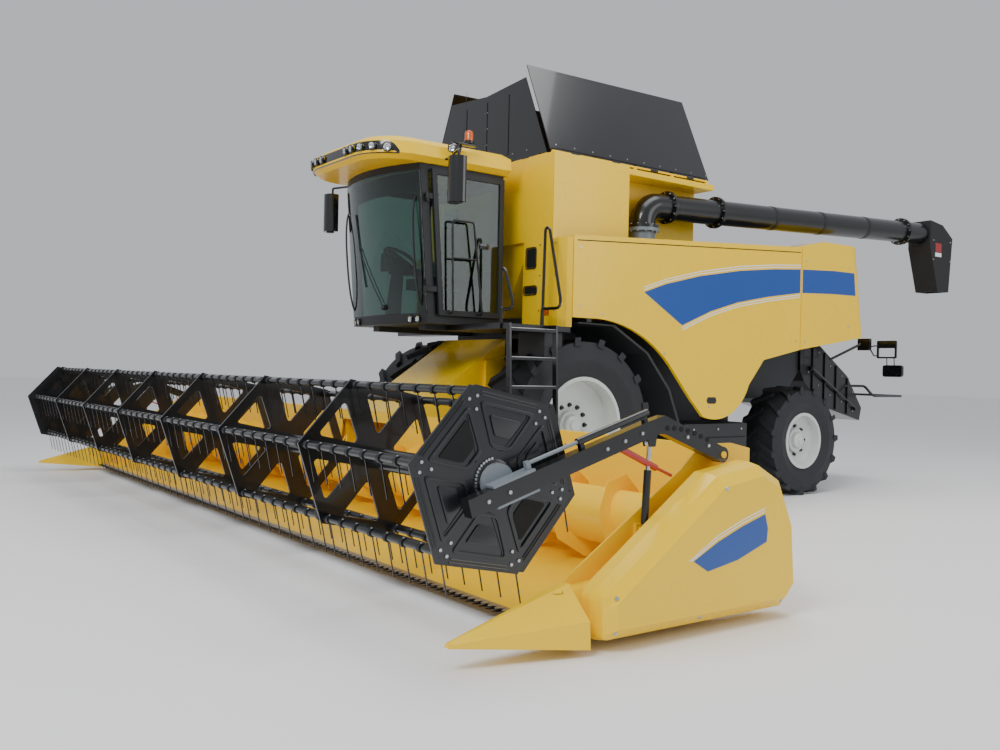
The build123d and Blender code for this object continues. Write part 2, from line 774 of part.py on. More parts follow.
# end flaps of the tank, which fold flat inwards under the side covers
for back, name, inward in ((FLAP_FRONT_Y, "front", 1), (FLAP_REAR_Y, "rear", -1)):
    with BuildPart() as flap:
        with BuildSketch(front(back).offset(FLAP_THICK / 2)) as outline:
            with BuildLine():
                Polyline(
                    (-FLAP_HALF, FLAP_AXIS_Z + FLAP_PIN_RADIUS + 1),
                    (FLAP_HALF, FLAP_AXIS_Z + FLAP_PIN_RADIUS + 1),
                    (FLAP_HALF - FLAP_HEIGHT * tan(lean), FLAP_AXIS_Z + FLAP_HEIGHT),
                    (0, FLAP_AXIS_Z + FLAP_HEIGHT - 60),
                    (-FLAP_HALF + FLAP_HEIGHT * tan(lean), FLAP_AXIS_Z + FLAP_HEIGHT),
                    close=True,
                )
            make_face()
        extrude(outline.sketch, amount=-FLAP_THICK)
        for across in (-0.675, -0.225, 0.225, 0.675):
            bar(
                (across * FLAP_HALF - 60, back, FLAP_AXIS_Z),
                (across * FLAP_HALF + 60, back, FLAP_AXIS_Z),
                FLAP_PIN_RADIUS + 5,
            )
        bar(
            (-FLAP_HALF - 1, back, FLAP_AXIS_Z),
            (FLAP_HALF + 1, back, FLAP_AXIS_Z),
            FLAP_PIN_RADIUS + PIN_GAP,
            mode=Mode.SUBTRACT,
        )
        for across in (-0.9, -0.45, 0, 0.45, 0.9):
            with Locations(Location(at(across * FLAP_HALF, back, FLAP_AXIS_Z), (0, 90, 0))):
                Cylinder(FLAP_PIN_RADIUS + 16, 56, mode=Mode.SUBTRACT)
    save(flap.part, f"tank_flap_{name}")

# filling auger that rises from the tank floor
with BuildPart() as filling_auger:
    bar((-60, 1500, HULL_TOP + TANK_WALL + SEAT_GAP), (-60, 1500, TANK_TOP - 180), FILL_PIPE_RADIUS)
    bar((-60, 1500, TANK_TOP - 180), (-60, 1500, TANK_TOP - 150), FILL_PIPE_RADIUS + 60)
save(filling_auger.part, "filling_auger")

# engine, a plain mass on the hull behind the tank
with BuildPart() as engine:
    block((-520, 560), (TANK_REAR + 350, TANK_REAR + 1350), (HULL_TOP, HULL_TOP + 900))
save(engine.part, "engine")


def cab_plan(inset, z, height, tuck=0, bulge=WINDSCREEN_BULGE, mode=Mode.ADD):
    """The cab's plan, with its bowed front, pulled up from a height."""
    corner_y = CAB_FRONT + tuck + inset / 2
    with BuildSketch(level(z)) as plan:
        with BuildLine():
            Polyline(
                (-CAB_HALF + inset, corner_y),
                (-CAB_HALF + inset, CAB_REAR - inset),
                (CAB_HALF - inset, CAB_REAR - inset),
                (CAB_HALF - inset, corner_y),
            )
            ThreePointArc(
                (CAB_HALF - inset, corner_y),
                (0, CAB_FRONT + tuck - bulge + inset),
                (-CAB_HALF + inset, corner_y),
            )
        make_face()
    extrude(plan.sketch, amount=height, mode=mode)


# cab: floor, ceiling ring, pillars and rear wall; open at the door and the windows
WINDOW_LOW = CAB_FLOOR + SILL
DOOR_LOW = CAB_FLOOR + SILL - 20
DOOR_HIGH = CAB_CEILING - 50
HINGE_Y = DOOR_FRONT - 40
HINGE_X = CAB_HALF + 30
with BuildPart() as cab_frame:
    cab_plan(0, CAB_FLOOR, SILL, CAB_TUCK, FOOT_BULGE)
    cab_plan(0, CAB_CEILING - PILLAR, PILLAR)
    cab_plan(PILLAR, CAB_CEILING - PILLAR - 1, PILLAR + 2, mode=Mode.SUBTRACT)
    for sign in (1, -1):
        slab(
            side(sign * (CAB_HALF - PILLAR)),
            [
                (CAB_FRONT + CAB_TUCK, WINDOW_LOW - 1),
                (CAB_FRONT, CAB_CEILING - PILLAR + 1),
                (CAB_FRONT + PILLAR_DEPTH, CAB_CEILING - PILLAR + 1),
                (CAB_FRONT + CAB_TUCK + PILLAR_DEPTH, WINDOW_LOW - 1),
            ],
            sign * PILLAR,
        )
    block((-CAB_HALF, CAB_HALF), (CAB_REAR - 50, CAB_REAR), (WINDOW_LOW - 1, CAB_CEILING - 69))
    block(
        (-CAB_HALF + 150, CAB_HALF - 150),
        (CAB_REAR - 51, CAB_REAR + 1),
        (2750, CAB_CEILING - 150),
        mode=Mode.SUBTRACT,
    )
    bracket_in = CAB_HALF - 4
    for z in HINGE_HEIGHTS:
        block((bracket_in, HINGE_X + 14), (HINGE_Y - 14, HINGE_Y + 14), (z - 30, z))
        block((bracket_in, CAB_HALF + 6), (HINGE_Y - 14, DOOR_FRONT + SKIN), (z - 30, z))
        bar((HINGE_X, HINGE_Y, z - 5), (HINGE_X, HINGE_Y, z + 60), DOOR_PIN_RADIUS)
save(cab_frame.part, "cab_frame")

# fixed panes: the bowed windscreen, the right side and the rear window
with BuildPart() as cab_glass:
    pane_low = WINDOW_LOW + SEAT_GAP
    pane_high = CAB_CEILING - 70 - SEAT_GAP
    for z, tuck, bulge in ((pane_low, CAB_TUCK, FOOT_BULGE), (pane_high, 0, WINDSCREEN_BULGE)):
        edge_y = CAB_FRONT + tuck - SEAM_GAP
        middle_y = CAB_FRONT + tuck - bulge + SEAM_GAP
        with BuildSketch(level(z)):
            with BuildLine():
                outer_arc = ThreePointArc(
                    (CAB_HALF - 5, edge_y),
                    (0, middle_y),
                    (-CAB_HALF + 5, edge_y),
                )
                inner_arc = ThreePointArc(
                    (-CAB_HALF + 5, edge_y + GLASS),
                    (0, middle_y + GLASS),
                    (CAB_HALF - 5, edge_y + GLASS),
                )
                Line(outer_arc @ 1, inner_arc @ 0)
                Line(inner_arc @ 1, outer_arc @ 0)
            make_face()
    loft(ruled=True)
    slab(
        side(-CAB_HALF + 5),
        [
            (CAB_FRONT + CAB_TUCK + PILLAR_DEPTH + 2 * SEAT_GAP, pane_low),
            (CAB_FRONT + PILLAR_DEPTH + 2 * SEAT_GAP, pane_high),
            (CAB_REAR - 50 - SEAT_GAP, pane_high),
            (CAB_REAR - 50 - SEAT_GAP, pane_low),
        ],
        GLASS,
    )
    block(
        (-CAB_HALF + 150 + SEAT_GAP, CAB_HALF - 150 - SEAT_GAP),
        (CAB_REAR - 30, CAB_REAR - 30 + GLASS),
        (2750 + SEAT_GAP, CAB_CEILING - 150 - SEAT_GAP),
    )
save(cab_glass.part, "cab_glass")

# cab roof with its overhanging brow and the lamps round it
with BuildPart() as cab_roof:
    roof_low = CAB_CEILING + SEAT_GAP
    for inset, rear_inset, z in (
        (70, 0, roof_low),
        (0, 0, roof_low + ROOF_WAIST),
        (15, 0, ROOF_TOP - 65),
        (120, 60, ROOF_TOP),
    ):
        with BuildSketch(level(z)) as roof_plan:
            with BuildLine():
                Polyline(
                    (-ROOF_HALF + inset, ROOF_FRONT + inset),
                    (-ROOF_HALF + inset, ROOF_REAR - rear_inset),
                    (ROOF_HALF - inset, ROOF_REAR - rear_inset),
                    (ROOF_HALF - inset, ROOF_FRONT + inset),
                    close=True,
                )
            make_face()
            fillet(roof_plan.vertices().sort_by(Axis.Y)[:2], radius=ROOF_CORNER - inset)
    loft(ruled=True)
    # round lamps: across, and how far each one is turned round the roof's corner
    for sign in (1, -1):
        for across, turn in ((-140, 0), (0, 0), (0, 17), (0, 34)):
            lamp_x = ROOF_HALF - ROOF_CORNER + across
            lamp_y = ROOF_FRONT + ROOF_CORNER
            bar(*[
                (
                    sign * (lamp_x + reach * sin(radians(turn))),
                    lamp_y - reach * cos(radians(turn)),
                    ROOF_LAMP_Z,
                )
                for reach in (ROOF_CORNER - 60, ROOF_CORNER + 10)
            ], ROOF_LAMP_RADIUS)
save(cab_roof.part, "cab_roof")

# cab door on the left and its pane
def door_edge(z):
    """The door's slanting front edge at a height."""
    return DOOR_FRONT + CAB_TUCK * (DOOR_HIGH - z) / (DOOR_HIGH - DOOR_LOW)


def door_outline(inset):
    """The door's outline, set in by the width of its frame."""
    low = DOOR_LOW + inset
    high = DOOR_HIGH - inset
    return [
        (door_edge(low) + inset, low),
        (door_edge(high) + inset, high),
        (CAB_REAR - 20 - inset, high),
        (CAB_REAR - 20 - inset, low),
    ]


with BuildPart() as cab_door:
    slab(side(CAB_HALF + 10), door_outline(0), DOOR_THICK)
    slab(side(CAB_HALF), door_outline(DOOR_STILE), 2 * DOOR_THICK, mode=Mode.SUBTRACT)
    # tall grab hoop outside the pane
    hoop_x = CAB_HALF + 10 + DOOR_THICK + 55
    hoop_foot = DOOR_LOW + 30
    bent_bar(
        [
            (hoop_x - 60, -1370, hoop_foot),
            (hoop_x, -1370, hoop_foot),
            (hoop_x, -1400, 3240),
            (hoop_x, -1120, 3240),
            (hoop_x, -980, hoop_foot),
            (hoop_x - 60, -980, hoop_foot),
        ],
        12,
        30,
    )
    bar((hoop_x, -1388, 2830), (hoop_x, -1062, 2830), 10)
    for z in HINGE_HEIGHTS:
        bar((HINGE_X, HINGE_Y, z + SEAT_GAP), (HINGE_X, HINGE_Y, z + 60), DOOR_PIN_RADIUS + 12)
        block((HINGE_X - 10, HINGE_X + 10), (HINGE_Y, door_edge(z) + 30), (z + SEAT_GAP, z + 60))
        bar((HINGE_X, HINGE_Y, z), (HINGE_X, HINGE_Y, z + 61), DOOR_PIN_RADIUS + PIN_GAP, mode=Mode.SUBTRACT)
save(cab_door.part, "cab_door")
with BuildPart() as door_glass:
    slab(side(CAB_HALF + 26), door_outline(DOOR_STILE + 2 * SEAT_GAP), GLASS)
save(door_glass.part, "door_glass")

# driver's seat
with BuildPart() as driver_seat:
    seat_floor = WINDOW_LOW + SEAT_GAP
    block((-150, 150), (-1150, -860), (seat_floor, seat_floor + 330))
    block((-250, 250), (-1260, -780), (seat_floor + 330, seat_floor + 460))
    slab(
        side(-240),
        [
            (-860, seat_floor + 455),
            (-780, seat_floor + 1080),
            (-715, seat_floor + 1080),
            (-740, seat_floor + 455),
        ],
        480,
    )
    block((-140, 140), (-800, -710), (seat_floor + 1075, seat_floor + 1300))
save(driver_seat.part, "driver_seat")

# steering column with its wheel, armrest console and display
with BuildPart() as cab_controls:
    slab(
        side(-60),
        [
            (-1640, seat_floor),
            (-1640, seat_floor + 60),
            (-1540, seat_floor + 680),
            (-1470, seat_floor + 660),
            (-1500, seat_floor),
        ],
        120,
    )
    with BuildSketch(Plane(origin=at(0, -1500, seat_floor + 660), z_dir=(0, 0.5, 0.87))) as ring:
        Circle(210)
        Circle(180, mode=Mode.SUBTRACT)
        Rectangle(380, 46)
    extrude(ring.sketch, amount=30)
    block((-430, -290), (-1400, -860), (seat_floor + 520, seat_floor + 600))
    block((-400, -320), (-1000, -900), (seat_floor, seat_floor + 521))
    block((-560, -300), (-1440, -1400), (seat_floor + 560, seat_floor + 780))
save(cab_controls.part, "cab_controls")

# mirrors on arms from the roof's front corners
with BuildPart() as mirrors:
    for sign in (1, -1):
        root = ROOF_HALF + SEAT_GAP
        arm_z = roof_low + ROOF_WAIST
        bent_bar(
            [
                (sign * root, -1500, arm_z),
                (sign * (root + 60), -1500, arm_z),
                (sign * MIRROR_X, MIRROR_Y, arm_z),
                (sign * MIRROR_X, MIRROR_Y, 3790),
            ],
            14,
            20,
        )
        bar((sign * MIRROR_X, MIRROR_Y, 3330), (sign * MIRROR_X, MIRROR_Y, 3801), MIRROR_RADIUS)
        block(
            (sign * (MIRROR_X - MIRROR_RADIUS - 1), sign * (MIRROR_X + MIRROR_RADIUS + 1)),
            (MIRROR_Y + 35, MIRROR_Y + MIRROR_RADIUS + 1),
            (3329, 3802),
            mode=Mode.SUBTRACT,
        )
save(mirrors.part, "mirrors")

# access platform on both sides, the left one with handrails and the ladder
with BuildPart() as access_platform:
    deck_low = CAB_FLOOR - PLATFORM_THICK
    block((PLATFORM_IN, PLATFORM_OUT), (PLATFORM_FRONT, PLATFORM_REAR + 100), (deck_low, CAB_FLOOR))
    block((-PLATFORM_OUT, -PLATFORM_IN), (-560, PLATFORM_REAR + 100), (deck_low, CAB_FLOOR))
    # a tall and a short grab loop, each on one side of the ladder
    for back, rail_in, rail_out, loop_low, loop_high in (
        (PLATFORM_FRONT + LADDER_WIDTH + 60, PLATFORM_OUT - 160, LADDER_X + 70, 2300, 3190),
        (PLATFORM_FRONT + 25, PLATFORM_OUT - 20, LADDER_X + 110, 2250, 2680),
    ):
        bent_bar(
            [
                (rail_in, back, CAB_FLOOR - 5),
                (rail_in + 30, back, loop_high),
                (rail_in + 110, back, loop_high),
                (rail_out, back, loop_low),
                (rail_in + 5, back, loop_low),
            ],
            RAIL_RADIUS,
            32,
        )
    for back in (PLATFORM_FRONT + 20, PLATFORM_FRONT + 20 + LADDER_WIDTH):
        slab(
            front(back + 25),
            [
                (PLATFORM_OUT - 1, deck_low),
                (PLATFORM_OUT - 1, CAB_FLOOR),
                (LADDER_X + 60, CAB_FLOOR),
                (LADDER_X + 130, LADDER_BOTTOM),
                (LADDER_X + 60, LADDER_BOTTOM),
                (LADDER_X, deck_low),
            ],
            25,
        )
    steps = 6
    for step in range(steps):
        z = LADDER_BOTTOM + 40 + step * (deck_low - LADDER_BOTTOM - 60) / (steps - 1)
        lean_out = 70 * (CAB_FLOOR - z) / (CAB_FLOOR - LADDER_BOTTOM)
        block(
            (LADDER_X + lean_out, LADDER_X + lean_out + 60),
            (PLATFORM_FRONT + 44, PLATFORM_FRONT + 21 + LADDER_WIDTH),
            (z, z + 28),
        )
save(access_platform.part, "access_platform")

# fixed body panels: the corners beside the cab and the rear hood with the tube's rest
HOOD_TOP = SHOULDER_Z + SHOULDER_RISE + 30
with BuildPart() as body_panels:
    for sign in (1, -1):
        slab(
            level(CAB_FLOOR),
            [
                (sign * (CAB_HALF + 15), TANK_FRONT),
                (sign * (BODY_HALF - 150), TANK_FRONT),
                (sign * (BODY_HALF - 45), TANK_FRONT + 40),
                (sign * BODY_HALF, PANEL_FRONT - SEAM_GAP),
                (sign * (BODY_HALF - 40), PANEL_FRONT - SEAM_GAP),
                (sign * (BODY_HALF - 80), TANK_FRONT + 70),
                (sign * (BODY_HALF - 160), TANK_FRONT + SKIN),
                (sign * (CAB_HALF + 15), TANK_FRONT + SKIN),
            ],
            SHOULDER_Z - TANK_WALL - CAB_FLOOR - SEAT_GAP,
        )
    slab(
        side(-BODY_HALF),
        [
            (PANEL_REAR + SEAM_GAP, 1990),
            (PANEL_REAR + SEAM_GAP, panel_top(PANEL_REAR) + 10),
            (4300, HOOD_TOP),
            (5020, HOOD_TOP),
            (5200, HOOD_TOP - 120),
            (HOOD_REAR + 80, 2230),
        ],
        2 * BODY_HALF,
    )
    fillet(
        body_panels.edges().filter_by(lambda e: abs(e.tangent_at(0.5).X) < 0.1).sort_by(Axis.Y)[-2:],
        radius=220,
    )
    slab(
        side(-BODY_HALF + SKIN),
        [
            (PANEL_REAR - 10, 1900),
            (PANEL_REAR - 10, panel_top(PANEL_REAR) + 10 - SKIN),
            (4300, HOOD_TOP - SKIN),
            (5000, HOOD_TOP - SKIN),
            (5160, HOOD_TOP - 120 - SKIN),
            (HOOD_REAR + 30, 2200),
            (HOOD_REAR + 30, 1900),
        ],
        2 * BODY_HALF - 2 * SKIN,
        mode=Mode.SUBTRACT,
    )
save(body_panels.part, "body_panels")

# side panels, hinged along their upper edges
PANEL_AXIS_X = BODY_HALF - 85
PANEL_PIN_RADIUS = 12.0


def panel_axis(back):
    """Height of the side panels' hinge line, which follows their upper edge."""
    return panel_top(back) - 6


with BuildPart() as panel_blank:
    with BuildSketch(side(BODY_HALF - PANEL_THICK)) as outline:
        with BuildLine():
            Polyline(
                (PANEL_FRONT, 2220),
                (PANEL_FRONT, panel_top(PANEL_FRONT)),
                (PANEL_REAR, panel_top(PANEL_REAR)),
                (PANEL_REAR, 1985),
                (3050, 1830),
                (2760, 1500),
            )
            ThreePointArc((2760, 1500), (2280, 1080), (1900, 1100))
            Polyline((1900, 1100), (1660, 1330), (1300, 1720))
            ThreePointArc((1300, 1720), (720, 2100), (0, 2220))
            Line((0, 2220), (PANEL_FRONT, 2220))
        make_face()
    extrude(outline.sketch, amount=PANEL_THICK)
    for back in (100, 1300, 2500, 3500):
        low = (PANEL_AXIS_X, back - 60, panel_axis(back - 60))
        high = (PANEL_AXIS_X, back + 60, panel_axis(back + 60))
        bar(low, high, PANEL_PIN_RADIUS + 8)
        block(
            (PANEL_AXIS_X, BODY_HALF - PANEL_THICK + 1),
            (back - 50, back + 50),
            (panel_axis(back) - 6, panel_axis(back) + 6),
        )
    bar(
        (PANEL_AXIS_X, 0, panel_axis(0)),
        (PANEL_AXIS_X, 3620, panel_axis(3620)),
        PANEL_PIN_RADIUS + PIN_GAP,
        mode=Mode.SUBTRACT,
    )
save(panel_blank.part.moved(Location()), "side_panel_left")
save(mirror(panel_blank.part, about=Plane.YZ), "side_panel_right")

# wheel arches round the front tyres
with BuildPart() as wheel_arches:
    arch = [(-140, 2160), (400, 2150), (950, 1850), (1330, 1420), (1560, 900)]
    for sign in (1, -1):
        slab(
            side(sign * HULL_HALF),
            arch + [(back + 30, high + 15) for back, high in reversed(arch)],
            sign * (BODY_HALF - PANEL_THICK - 5 - HULL_HALF),
        )
save(wheel_arches.part, "wheel_arches")

# charcoal boxes between the wheels
with BuildPart() as side_boxes:
    for sign in (1, -1):
        slab(
            side(sign * HULL_HALF),
            [(1680, 1000), (2860, 1000), (2860, 560), (2760, 480), (1900, 480), (1680, 760)],
            sign * (BODY_HALF - 100 - HULL_HALF),
        )
save(side_boxes.part, "side_boxes")

# straw chopper below the hood, with lamp frames and the rear guard loop
with BuildPart() as straw_chopper:
    chop_half = 820.0
    slab(
        side(-chop_half),
        [
            (HULL_REAR + SEAT_GAP, 2240),
            (5350, 2150),
            (6150, 1650),
            (6550, 1150),
            (6500, 950),
            (5500, 1180),
            (5050, 1560),
            (HULL_REAR + SEAT_GAP, 1720),
        ],
        2 * chop_half,
    )
    for sign in (1, -1):
        # stiffening ribs on the side plates: backwards, low, high
        ribs = ((5250, 1430, 2140), (5550, 1200, 2000), (5850, 1130, 1810), (6150, 1060, 1620))
        for back, low, high in ribs:
            block((sign * (chop_half - 1), sign * (chop_half + 22)), (back - 15, back + 15), (low, high))
        bent_bar(
            [
                (sign * (chop_half - 10), 6100, 1500),
                (sign * 1000, 6350, 1500),
                (sign * 1150, 6350, 1350),
                (sign * 1150, 7150, 1350),
                (sign * 700, 7350, 1350),
                (0, 7350, 1350),
            ],
            20,
            60,
        )
        bar((sign * (chop_half - 10), 5700, 1900), (sign * 1150, 6000, 2150), 20)
        block((sign * 1100, sign * 1300), (5980, 6040), (2050, 2230))
save(straw_chopper.part, "straw_chopper")

# turret of the unloading tube, standing on the hull
with BuildPart() as tube_turret:
    block(
        (HULL_HALF - 80, TUBE_PIVOT_X + TUBE_RADIUS),
        (TUBE_PIVOT_Y - TUBE_RADIUS, TUBE_PIVOT_Y + TUBE_RADIUS),
        (HULL_TOP, HULL_TOP + 40),
    )
    bar((TUBE_PIVOT_X, TUBE_PIVOT_Y, HULL_TOP + 20), (TUBE_PIVOT_X, TUBE_PIVOT_Y, TURRET_TOP), TUBE_RADIUS)
    bar(
        (TUBE_PIVOT_X, TUBE_PIVOT_Y, TURRET_TOP - FLANGE_THICK),
        (TUBE_PIVOT_X, TUBE_PIVOT_Y, TURRET_TOP),
        FLANGE_RADIUS,
    )
    bar(
        (TUBE_PIVOT_X, TUBE_PIVOT_Y, TURRET_TOP - 5),
        (TUBE_PIVOT_X, TUBE_PIVOT_Y, TURRET_TOP + 60),
        TUBE_RADIUS - 30,
    )
save(tube_turret.part, "tube_turret")

# unloading tube, drawn pointing straight back and then turned a little outwards
tube_pivot = Axis(at(TUBE_PIVOT_X, TUBE_PIVOT_Y, 0), (0, 0, 1))
rise = radians(TUBE_RISE)
tube_end_y = TUBE_PIVOT_Y + TUBE_REACH * cos(rise)
tube_end_z = TUBE_Z + TUBE_REACH * sin(rise)
spout_y = tube_end_y + TUBE_RADIUS * sin(rise) + SEAT_GAP
with BuildPart() as tube_blank:
    elbow_low = TURRET_TOP + SEAT_GAP
    bent_bar(
        [
            (TUBE_PIVOT_X, TUBE_PIVOT_Y, elbow_low),
            (TUBE_PIVOT_X, TUBE_PIVOT_Y, TUBE_Z),
            (TUBE_PIVOT_X, tube_end_y, tube_end_z),
        ],
        TUBE_RADIUS,
        TUBE_BEND,
    )
    bar(
        (TUBE_PIVOT_X, TUBE_PIVOT_Y, elbow_low),
        (TUBE_PIVOT_X, TUBE_PIVOT_Y, elbow_low + FLANGE_THICK),
        FLANGE_RADIUS,
    )
    for reach in (400, 1250, TUBE_REACH - 500):
        start = reach - FLANGE_THICK / 2
        end = reach + FLANGE_THICK / 2
        bar(
            (TUBE_PIVOT_X, TUBE_PIVOT_Y + start * cos(rise), TUBE_Z + start * sin(rise)),
            (TUBE_PIVOT_X, TUBE_PIVOT_Y + end * cos(rise), TUBE_Z + end * sin(rise)),
            FLANGE_RADIUS,
        )
    bar(
        (TUBE_PIVOT_X, TUBE_PIVOT_Y, elbow_low - 1),
        (TUBE_PIVOT_X, TUBE_PIVOT_Y, TURRET_TOP + 62),
        TUBE_RADIUS - 30 + PIN_GAP,
        mode=Mode.SUBTRACT,
    )
save(tube_blank.part.rotate(tube_pivot, -TUBE_REST_YAW), "unloading_tube")

# rubber spout at the tube's end, open below
with BuildPart() as spout_blank:
    spout_plane = side(TUBE_PIVOT_X - TUBE_RADIUS - 30)
    slab(
        spout_plane,
        [
            (spout_y, tube_end_z - TUBE_RADIUS - 60),
            (spout_y, tube_end_z + TUBE_RADIUS + 30),
            (tube_end_y + 330, tube_end_z + TUBE_RADIUS - 20),
            (tube_end_y + 600, tube_end_z - 50),
            (tube_end_y + 520, tube_end_z - SPOUT_DROP),
            (tube_end_y + 230, tube_end_z - SPOUT_DROP),
        ],
        2 * TUBE_RADIUS + 60,
    )
    slab(
        side(TUBE_PIVOT_X - TUBE_RADIUS),
        [
            (tube_end_y + 60, tube_end_z - TUBE_RADIUS - 20),
            (tube_end_y + 60, tube_end_z + TUBE_RADIUS - 10),
            (tube_end_y + 320, tube_end_z + TUBE_RADIUS - 60),
            (tube_end_y + 560, tube_end_z - 70),
            (tube_end_y + 490, tube_end_z - SPOUT_DROP - 1),
            (tube_end_y + 262, tube_end_z - SPOUT_DROP - 1),
        ],
        2 * TUBE_RADIUS,
        mode=Mode.SUBTRACT,
    )
save(spout_blank.part.rotate(tube_pivot, -TUBE_REST_YAW), "spout")

# feeder house: an open channel on two arms that turn on the hull's stub shafts
FEEDER_LINE = (
    # backwards, low, high
    (FEEDER_FRONT, 330.0, 1075.0),
    (-420.0, 1320.0, 1985.0),
)
feeder_slope = (FEEDER_LINE[1][1] - FEEDER_LINE[0][1]) / (FEEDER_LINE[1][0] - FEEDER_LINE[0][0])


def feeder_low(back):
    """Height of the feeder house's underside."""
    return FEEDER_LINE[0][1] + feeder_slope * (back - FEEDER_LINE[0][0])


with BuildPart() as feeder_house:
    (near_y, near_low, near_high), (far_y, far_low, far_high) = FEEDER_LINE
    slab(
        side(-FEEDER_HALF),
        [(near_y, near_low), (near_y, near_high), (far_y, far_high), (far_y, far_low)],
        2 * FEEDER_HALF,
    )
    slab(
        side(-FEEDER_HALF + FEEDER_WALL),
        [
            (near_y - 1, near_low + FEEDER_WALL),
            (near_y - 1, near_high - FEEDER_WALL),
            (far_y + 1, far_high - FEEDER_WALL),
            (far_y + 1, far_low + FEEDER_WALL),
        ],
        2 * FEEDER_HALF - 2 * FEEDER_WALL,
        mode=Mode.SUBTRACT,
    )
    # ribs across the underside
    for back in (-1560, -1180, -800):
        slab(
            side(-LIFT_X + 60),
            [
                (back, feeder_low(back) + 1),
                (back, feeder_low(back) - 24),
                (back + 30, feeder_low(back + 30) - 24),
                (back + 30, feeder_low(back + 30) + 1),
            ],
            2 * LIFT_X - 120,
        )
    for sign in (1, -1):
        slab(
            side(sign * FEEDER_HALF),
            [
                (far_y - 300, far_low - 40),
                (far_y - 300, far_high - 260),
                (FEEDER_PIVOT_Y, FEEDER_PIVOT_Z + 75),
                (FEEDER_PIVOT_Y, FEEDER_PIVOT_Z - 75),
            ],
            sign * 45,
        )
        bar(
            (sign * FEEDER_HALF, FEEDER_PIVOT_Y, FEEDER_PIVOT_Z),
            (sign * (FEEDER_HALF + 45), FEEDER_PIVOT_Y, FEEDER_PIVOT_Z),
            75,
        )
        bar(
            (sign * (FEEDER_HALF - 1), FEEDER_PIVOT_Y, FEEDER_PIVOT_Z),
            (sign * (FEEDER_HALF + 46), FEEDER_PIVOT_Y, FEEDER_PIVOT_Z),
            FEEDER_PIN_RADIUS + PIN_GAP,
            mode=Mode.SUBTRACT,
        )
        # lugs and pins at the lift rods' eyes
        for inner in (LIFT_X - LIFT_EYE_HALF - 25, LIFT_X + LIFT_EYE_HALF + 5):
            slab(
                side(sign * inner),
                [
                    (LIFT_EYE_Y - 45, LIFT_EYE_Z - 45),
                    (LIFT_EYE_Y + 45, LIFT_EYE_Z - 45),
                    (LIFT_EYE_Y + 120, feeder_low(LIFT_EYE_Y + 120) + 10),
                    (LIFT_EYE_Y - 120, feeder_low(LIFT_EYE_Y - 120) + 10),
                ],
                sign * 20,
            )
        bar(
            (sign * (LIFT_X - LIFT_EYE_HALF - 20), LIFT_EYE_Y, LIFT_EYE_Z),
            (sign * (LIFT_X + LIFT_EYE_HALF + 20), LIFT_EYE_Y, LIFT_EYE_Z),
            LIFT_PIN_RADIUS,
        )
save(feeder_house.part, "feeder_house")


def cylinder_pair(across, base, eye, barrel, rod, pin, eye_half, barrel_length, rod_foot, drift):
    """The barrels and the rods of a pair of hydraulic cylinders, left and right."""
    run = hypot(eye[0] - base[0], eye[1] - base[1])
    along = ((eye[0] - base[0]) / run, (eye[1] - base[1]) / run)

    def spot(sign, reach):
        """A point on the cylinder's centre line."""
        return (sign * across, base[0] + along[0] * reach, base[1] + along[1] * reach)

    with BuildPart() as barrels:
        for sign in (1, -1):
            bar((sign * (across - eye_half), *base), (sign * (across + eye_half), *base), 2 * pin)
            bar(spot(sign, pin + 5), spot(sign, 3 * pin), min(barrel, eye_half) - 2)
            bar(spot(sign, 3 * pin), spot(sign, barrel_length), barrel)
            bar(spot(sign, rod_foot - 10), spot(sign, barrel_length + 1), rod + PIN_GAP, mode=Mode.SUBTRACT)
            bar(
                (sign * (across - eye_half - 1), *base),
                (sign * (across + eye_half + 1), *base),
                pin + PIN_GAP,
                mode=Mode.SUBTRACT,
            )
    with BuildPart() as rods:
        for sign in (1, -1):
            bar((sign * (across - eye_half), *eye), (sign * (across + eye_half), *eye), 2 * pin + drift)
            bar(spot(sign, rod_foot), spot(sign, run - pin - drift), rod)
            bar(
                (sign * (across - eye_half - 1), *eye),
                (sign * (across + eye_half + 1), *eye),
                pin + drift,
                mode=Mode.SUBTRACT,
            )
    return barrels.part, rods.part


lift_barrels, lift_rods = cylinder_pair(
    LIFT_X,
    (LIFT_BASE_Y, LIFT_BASE_Z),
    (LIFT_EYE_Y, LIFT_EYE_Z),
    LIFT_BARREL_RADIUS,
    LIFT_ROD_RADIUS,
    LIFT_PIN_RADIUS,
    LIFT_EYE_HALF,
    LIFT_BARREL_LENGTH,
    LIFT_ROD_FOOT,
    LIFT_EYE_DRIFT,
)
save(lift_barrels, "lift_barrels")
save(lift_rods, "lift_rods")

# header frame: floor, trough and back sheet between two side sheets, on a tube frame
trough = AUGER_RADIUS + TROUGH_GAP
TROUGH_TURNS = (-105, -80, -55, -30, -5)


def trough_point(turn, radius):
    """A corner of the trough round the auger."""
    return (AUGER_Y + radius * cos(radians(turn)), AUGER_Z + radius * sin(radians(turn)))


